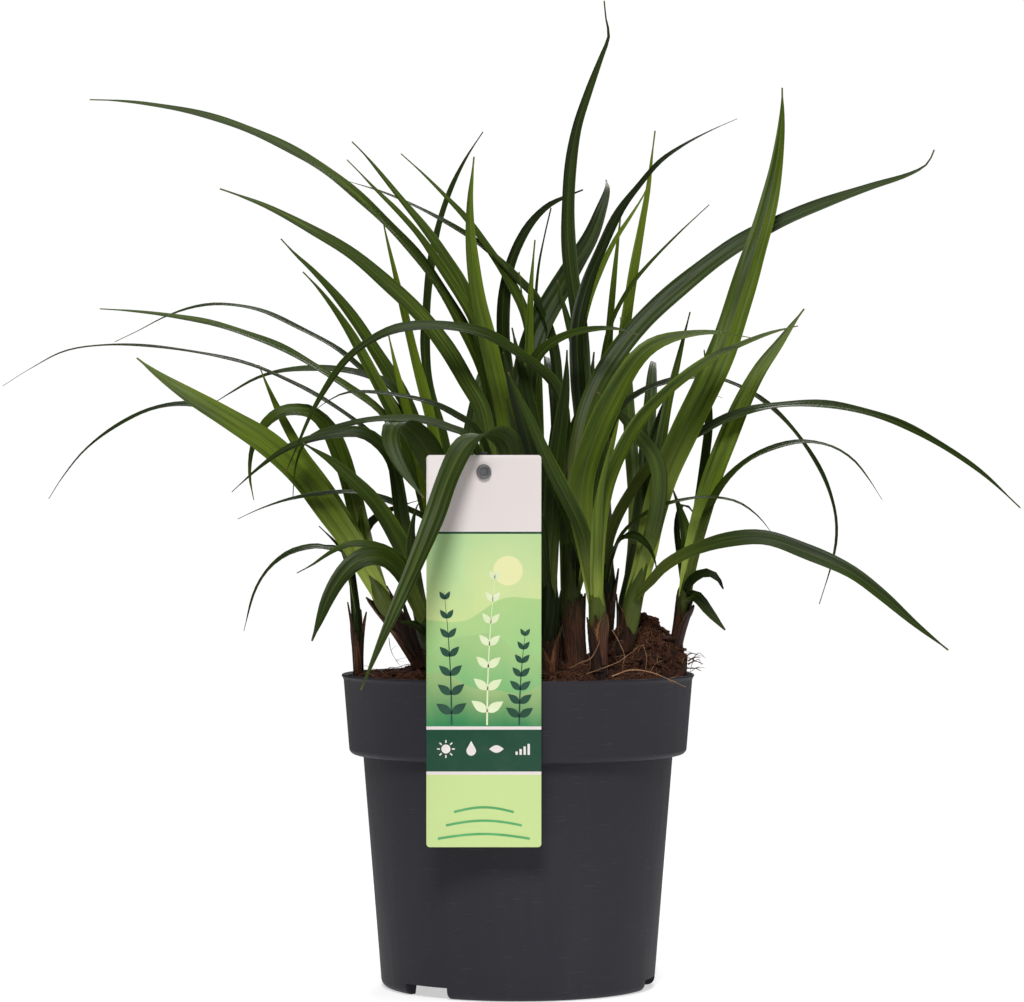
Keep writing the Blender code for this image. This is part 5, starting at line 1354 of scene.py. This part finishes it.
def addFibre(builder, points, radius, tone, random, sides=5):
    # A root: a thin tube that wavers a little about its course
    form = fibreForm
    line = smoothCourse([np.array(point) for point in points], form["station"])
    rows = len(line)
    share = np.linspace(0, 1, rows)
    for axis in range(3):
        waver = random.normal(0, 1, rows + len(form["smoothing"]) - 1)
        waver = np.convolve(waver, form["smoothing"], "valid")
        line[:, axis] += waver * radius * form["waver"] * np.sin(share * math.pi)
    size = radius * (1 - (1 - form["taper"]) * share) * (1 + 0.18 * np.sin(share * 23 + tone * 9))
    rings = line[:, None] + outward(line, anglesOf(sides), (0.13, 0.31, 0.94)) * size[:, None, None]
    builder.rings(rings, 0.0, share[:, None], tone)


def makeRoots():
    form = soilForm
    limit = form["radius"] - 0.002
    random = np.random.default_rng(77)
    builder = Builder()
    for radius, tone, *course in fibres:
        course = [seen(point) for point in np.reshape(course, (-1, 3))]
        addFibre(builder, course, radius * mm, tone, random)
        for _ in range(fibreForm["sideRoots"]):
            # A side root leaves the main one
            joint = course[random.integers(1, len(course) - 1)]
            heading = random.normal(0, 1, 3) * (1, 1, 0.35)
            heading = unit(heading) * random.uniform(0.004, 0.011)
            bend = random.normal(0, 0.0012, 3)
            branch = [joint, joint + heading * 0.5 + bend, joint + heading]
            addFibre(builder, branch, radius * mm * 0.45, tone * 0.8, random)
    for number in range(form["roots"] + form["hairs"]):
        hair = number >= form["roots"]
        x, y = soilSpot(random, number, 0.93, 0.016)
        heading = random.uniform(0, math.tau)
        length = random.uniform(0.003, 0.011) if hair else random.uniform(0.008, 0.032)
        bend = random.normal(0, 0.5)
        rise = random.uniform(0.0004, 0.0034)
        course = []
        for i in range(5):
            away = math.hypot(x, y)
            if away > limit:
                x *= limit / away
                y *= limit / away
            course.append((x, y, float(soilHeight(x, y)) - 0.0006 + rise * math.sin(math.pi * i / 4)))
            heading += bend + random.normal(0, 0.35)
            x += math.cos(heading) * length / 4
            y += math.sin(heading) * length / 4
        thick = random.uniform(0.00006, 0.00014) if hair else random.uniform(0.00010, 0.00026)
        addFibre(builder, course, thick, random.uniform(0.1, 1.0), random, 4 if hair else 5)
    roots = builder.made("loose_roots", rootMaterial("root_fibre"), 80)
    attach(roots, "root")


# Label and peg

labelForm = {
    "width": 0.0535,
    "height": 0.1825,
    "thickness": 0.0007,
    "corner": 0.0016,
    "inset": 0.00012,
    "middle": (-0.0160, -0.0875),
    "foot": 0.075,
    "holeRadius": 0.0026,
    "holeHeight": 0.2497,
    "darkLine": 0.2218,
    "picture": 0.1312,
    "darkBand": 0.1102,
    "lineWidth": 0.0005,
    "lineEdge": 0.00008,
    "mark": 0.00006,
}


def labelMaterial(name):
    # Printed card: white head, a panel of hills under a soft sky, a dark band and a pale green foot
    made = newMaterial(name)
    look = labelLook
    form = labelForm
    where = place()
    x = (where.part(0) - form["middle"][0]) / (form["width"] / 2)
    z = where.part(2)
    rise = (z - form["picture"]) / (form["darkLine"] - form["picture"])
    cloud = noise(joined(x * 0.9, rise * 1.6, 0.3), 2.2, 2.0)
    panel = (rise + cloud.swing(0.5)).step(0.35, 1.05).mix(look["haze"], look["sky"])
    fromSun = ((x - look["sunPlace"][0]) ** 2.0 + ((rise - look["sunPlace"][1]) * 3.4) ** 2.0) ** 0.5
    glow = (1.0 - fromSun.step(0.24, 0.27)) * 0.8 + (1.0 - fromSun.step(0.2, 1.3)) * 0.35
    panel = glow.clamped().mix(panel, look["sun"])
    for number, (foot, swell, pace, colour) in enumerate(look["hills"]):
        crest = (x * pace + number * 1.9).sine() * swell + (x * pace * 2.7).sine() * 0.012 + foot
        inside = 1.0 - (rise - crest).step(-0.004, 0.004)
        shade = (rise / crest + cloud.swing(0.6)).clamped()
        panel = inside.mix(panel, (shade * 0.5).mix(colour, look["haze"]))
    # Bands from the head down: where each ends, and what is below it
    line = form["lineWidth"]
    bands = (
        (form["darkLine"], look["dark"]),
        (form["darkLine"] - 2 * line, panel),
        (form["picture"], look["white"]),
        (form["picture"] - 3 * line, look["dark"]),
        (form["darkBand"], look["white"]),
        (form["darkBand"] - 3 * line, look["light"]),
    )
    colour = look["white"]
    for height, below in bands:
        colour = z.step(height - form["lineEdge"], height + form["lineEdge"]).mix(below, colour)
    haze = noise(where, 80.0)
    colour = haze.swing(0.10).clamped().mix(colour, look["soiled"])
    return dress(
        made,
        Base_Color=colour,
        Roughness=(look["roughness"] + haze.swing(0.14)).clamped(),
        Specular_IOR_Level=look["specular"],
        Normal=bump(noise(where, 2600.0), 0.00003, 0.4),
    )


def roundedOutline(form):
    half = form["width"] / 2 - form["corner"]
    low = form["foot"] + form["corner"]
    high = form["foot"] + form["height"] - form["corner"]
    outline = []
    for x, z, start in ((half, low, -90), (half, high, 0), (-half, high, 90), (-half, low, 180)):
        outline += arc((form["middle"][0] + x, z), form["corner"], start, start + 90)
    return outline


def makeLabel():
    form = labelForm
    outline = roundedOutline(form)
    count = len(outline)
    middle, depth = form["middle"]
    half = form["thickness"] / 2
    inset = form["inset"]
    centre = form["foot"] + form["height"] / 2
    points = []
    for away, margin in ((-half, inset), (-half + inset, 0.0), (half - inset, 0.0), (half, inset)):
        for x, z in outline:
            x = middle + (x - middle) * (1 - margin / (form["width"] / 2))
            z = centre + (z - centre) * (1 - margin / (form["height"] / 2))
            points.append((x, depth + away, z))
    faces = [range(count), range(4 * count - 1, 3 * count - 1, -1)]
    for ring in (0, count, 2 * count):
        for i in range(count):
            a = ring + i
            b = ring + (i + 1) % count
            faces.append([b, a, a + count, b + count])
    mesh = buildMesh("label_card", points, faces, 30)
    label = addObject("label_card", mesh, labelMaterial("printed_card"))
    bpy.ops.mesh.primitive_cylinder_add(vertices=48, radius=form["holeRadius"], depth=potForm["cutDepth"])
    hole = bpy.context.object
    hole.rotation_euler = (math.pi / 2, 0, 0)
    hole.location = (middle, depth, form["holeHeight"])
    cut(label, [hole])
    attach(label, "root")
    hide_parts("plant_label")
    makeMarks()
    print("label made")


def headings(angle):
    # The directions ahead and across, on the card's face
    ahead = np.array((math.cos(angle), math.sin(angle)))
    return ahead, np.array((-ahead[1], ahead[0]))


sprigForm = {
    "pairs": 7,
    "stalk": 0.00035,
    "leafBulge": 0.24,
}


def sprigShapes(foot, lean, tall, leafLength):
    # A stalk with paired oval leaves, as outlines
    form = sprigForm
    shapes = []
    for i in range(form["pairs"]):
        share = (i + 0.6) / form["pairs"]
        joint = np.array((foot[0] + lean * share**2, foot[1] + tall * share))
        length = leafLength * (1.15 - 0.6 * share)
        for hand in (-1, 1):
            ahead, across = headings(math.radians(90 - hand * (58 - 26 * share)) - lean * 6)
            outline = []
            for side, steps in ((1, np.linspace(0, 1, 11)), (-1, np.linspace(1, 0, 11)[1:-1])):
                for t in steps:
                    bulge = side * form["leafBulge"] * length * math.sin(math.pi * t**0.8)
                    outline.append(joint + ahead * length * t + across * bulge)
            shapes.append(outline)
    stalk = []
    for side, steps in ((-form["stalk"], np.linspace(0, 1, 12)), (form["stalk"], np.linspace(1, 0, 12))):
        stalk += [(foot[0] + lean * t**2 + side * (1.2 - t), foot[1] + tall * t) for t in steps]
    shapes.append(stalk)
    return shapes


def signShapes(left, middle, size, step):
    # A sun, a drop, an oval leaf and four bars
    shapes = [arc((left, middle), size * 0.62, 0, 345, 23)]
    for i in range(8):
        ahead, across = headings(math.tau * i / 8)
        across = across * size * 0.09
        start = np.array((left, middle)) + ahead * size * 0.82
        stop = np.array((left, middle)) + ahead * size * 1.22
        shapes.append([start + across, start - across, stop - across, stop + across])
    drop = arc((left + step, middle - size * 0.25), size * 0.66, 150, 390, 18)
    for x, z in ((0.30, 0.55), (0, 1.1), (-0.30, 0.55)):
        drop.append((left + step + size * x, middle + size * z))
    shapes.append(drop)
    centre = left + 2 * step
    steps = np.linspace(0, 1, 13)
    blade = [(centre + size * (2 * t - 1), middle + size * 0.52 * math.sin(math.pi * t)) for t in steps]
    shapes.append(blade + [(x, 2 * middle - z) for x, z in blade[-2:0:-1]])
    low = middle - size * 0.8
    for i in range(4):
        x = left + 2.75 * step + i * size * 0.55
        side = x + size * 0.32
        high = low + size * (0.45 + 0.35 * i)
        shapes.append([(x, low), (side, low), (side, high), (x, high)])
    return shapes


def printShapes(name, shapes, colour):
    # Thin printed shapes, a hair proud of the card
    form = labelForm
    depth = form["middle"][1] - form["thickness"] / 2
    builder = Builder()
    for outline in shapes:
        rings = [[(x, depth - away, z) for x, z in outline] for away in (0.0, form["mark"])]
        builder.rings(rings, 0.0, 0.0, 0.5)
    ink = plasticMaterial(name + "_ink", colour, labelLook["inkRoughness"])
    printed = builder.made(name, ink, 30)
    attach(printed, "root")


def makeMarks():
    # Plain printed motifs, with no lettering
    form = labelForm
    middle = form["middle"][0]
    width = form["width"]
    ground = form["picture"] + 0.0006
    sprigs = sprigShapes((middle - 0.0150, ground), -0.0035, 0.062, 0.0078)
    sprigs += sprigShapes((middle + 0.0165, ground), 0.0030, 0.044, 0.0070)
    printShapes("label_sprigs", sprigs, labelLook["dark"])
    pale = sprigShapes((middle + 0.0015, ground), 0.0040, 0.072, 0.0082)
    printShapes("label_pale_sprig", pale, labelLook["pale"])
    height = (form["darkBand"] + form["picture"]) / 2
    signs = signShapes(middle - width * 0.33, height, 0.0034, width * 0.22)
    printShapes("label_signs", signs, labelLook["white"])
    bows = []
    for i in range(3):
        half = width * (0.40 - 0.07 * i)
        z = form["foot"] + 0.0045 + i * 0.0062
        bow = [(middle + half * t, z + 0.0022 * math.cos(math.pi / 2 * t)) for t in np.linspace(-1, 1, 21)]
        bows.append(bow + [(x, y - 0.0011) for x, y in bow[::-1]])
    printShapes("label_bows", bows, labelLook["leaf"])


studForm = {
    "gap": 0.0003,
    "proud": 0.0012,
    "sides": 48,
    "ring": (0.10, 0.10, 0.105),
    "ringRoughness": 0.35,
    "peg": (0.045, 0.046, 0.049),
    "pegRoughness": 0.42,
}


def makeStud():
    # The peg's stud head: a raised ring round a sunk middle
    form = labelForm
    front = form["middle"][1] - form["thickness"] / 2 - studForm["gap"] - studForm["proud"]
    profile = [(0, 0.0002), (0.0016, 0.0002), (0.0019, 0.0005)]
    profile += arc((0.0026, 0.0004), 0.0007, 150, 10, 8)
    profile += [(0.0034, 0.0), (0.0034, -0.0006), (0, -0.0006)]
    look = plasticMaterial("stud_plastic", studForm["ring"], studForm["ringRoughness"])
    stud = addObject("stud_ring", lathe("stud_ring", profile, studForm["sides"]), look)
    for vert in stud.data.vertices:
        x, y, z = vert.co
        vert.co = (form["middle"][0] + x, front - z, form["holeHeight"] + y)
    stud.data.update()
    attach(stud, "root")
    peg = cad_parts["label_peg"]
    peg.data.materials.clear()
    peg.data.materials.append(plasticMaterial("peg_plastic", studForm["peg"], studForm["pegRoughness"]))
    print("peg made")


# Floor, lights and camera

studio = {
    "lens": 135.4,
    "sensor": 36.0,
    "seenWhite": 1.02,
    "skyLight": 0.13,
    "floorGlow": 0.56,
    "floorRadius": 1.25,
    "floorFade": (0.40, 1.15),
    "floorHeight": -0.0002,
    "aim": (0, 0, 0.24),
    "lights": {
        "key": ((-0.15, -1.80, 1.60), 0.60, 32.0),
        "fill": ((1.70, -0.95, 0.55), 0.80, 4.0),
        "rim": ((0.25, 1.85, 1.60), 0.90, 15.0),
        "top": ((0.15, 0.05, 1.90), 0.90, 10.0),
    },
}


def addLight(name, position, size, power):
    data = bpy.data.lights.new(name, "AREA")
    data.shape = "SQUARE"
    data.size = size
    data.energy = power
    made = bpy.data.objects.new(name, data)
    bpy.context.scene.collection.objects.link(made)
    made.location = position
    aim = Vector(studio["aim"]) - Vector(position)
    made.rotation_euler = aim.to_track_quat("-Z", "Y").to_euler()


def floorMaterial(name):
    # Pale floor that fades out into the white room
    made = newMaterial(name)
    where = place()
    away = (where.part(0) ** 2.0 + where.part(1) ** 2.0) ** 0.5
    return dress(
        made,
        Base_Color=noise(where, 6.0).mix((0.78, 0.78, 0.78), (0.84, 0.84, 0.84)),
        Roughness=0.9,
        Alpha=1.0 - away.step(*studio["floorFade"]),
        Emission_Color=(1, 1, 1),
        Emission_Strength=studio["floorGlow"],
    )


def makeStudio():
    shape = bmesh.new()
    bmesh.ops.create_circle(shape, cap_ends=True, segments=96, radius=studio["floorRadius"])
    floor = addObject("floor", takenFrom("floor", shape), floorMaterial("pale_floor"))
    floor.location = (0, 0, studio["floorHeight"])
    world = bpy.data.worlds.new("studio")
    world.use_nodes = True
    Wire.tree = world.node_tree
    cameraRay = Wire.node("ShaderNodeLightPath")
    strength = cameraRay * (studio["seenWhite"] - studio["skyLight"]) + studio["skyLight"]
    background = world.node_tree.nodes["Background"]
    background.inputs["Color"].default_value = (1, 1, 1, 1)
    Wire.feed(background.inputs["Strength"], strength)
    bpy.context.scene.world = world
    for name, light in studio["lights"].items():
        addLight(name, *light)
    lens = bpy.data.cameras.new("camera")
    lens.lens = studio["lens"]
    lens.sensor_width = studio["sensor"]
    lens.clip_end = 100
    camera = bpy.data.objects.new("camera", lens)
    bpy.context.scene.collection.objects.link(camera)
    camera.location = cameraPlace
    camera.rotation_euler = (math.pi / 2, 0, 0)
    bpy.context.scene.camera = camera
    bpy.context.scene.view_settings.view_transform = "Standard"
    print("studio made")


makeStudio()
makePot()
makeSoil()
makeLabel()
makeStud()
makeSheaths()
makeTufts()
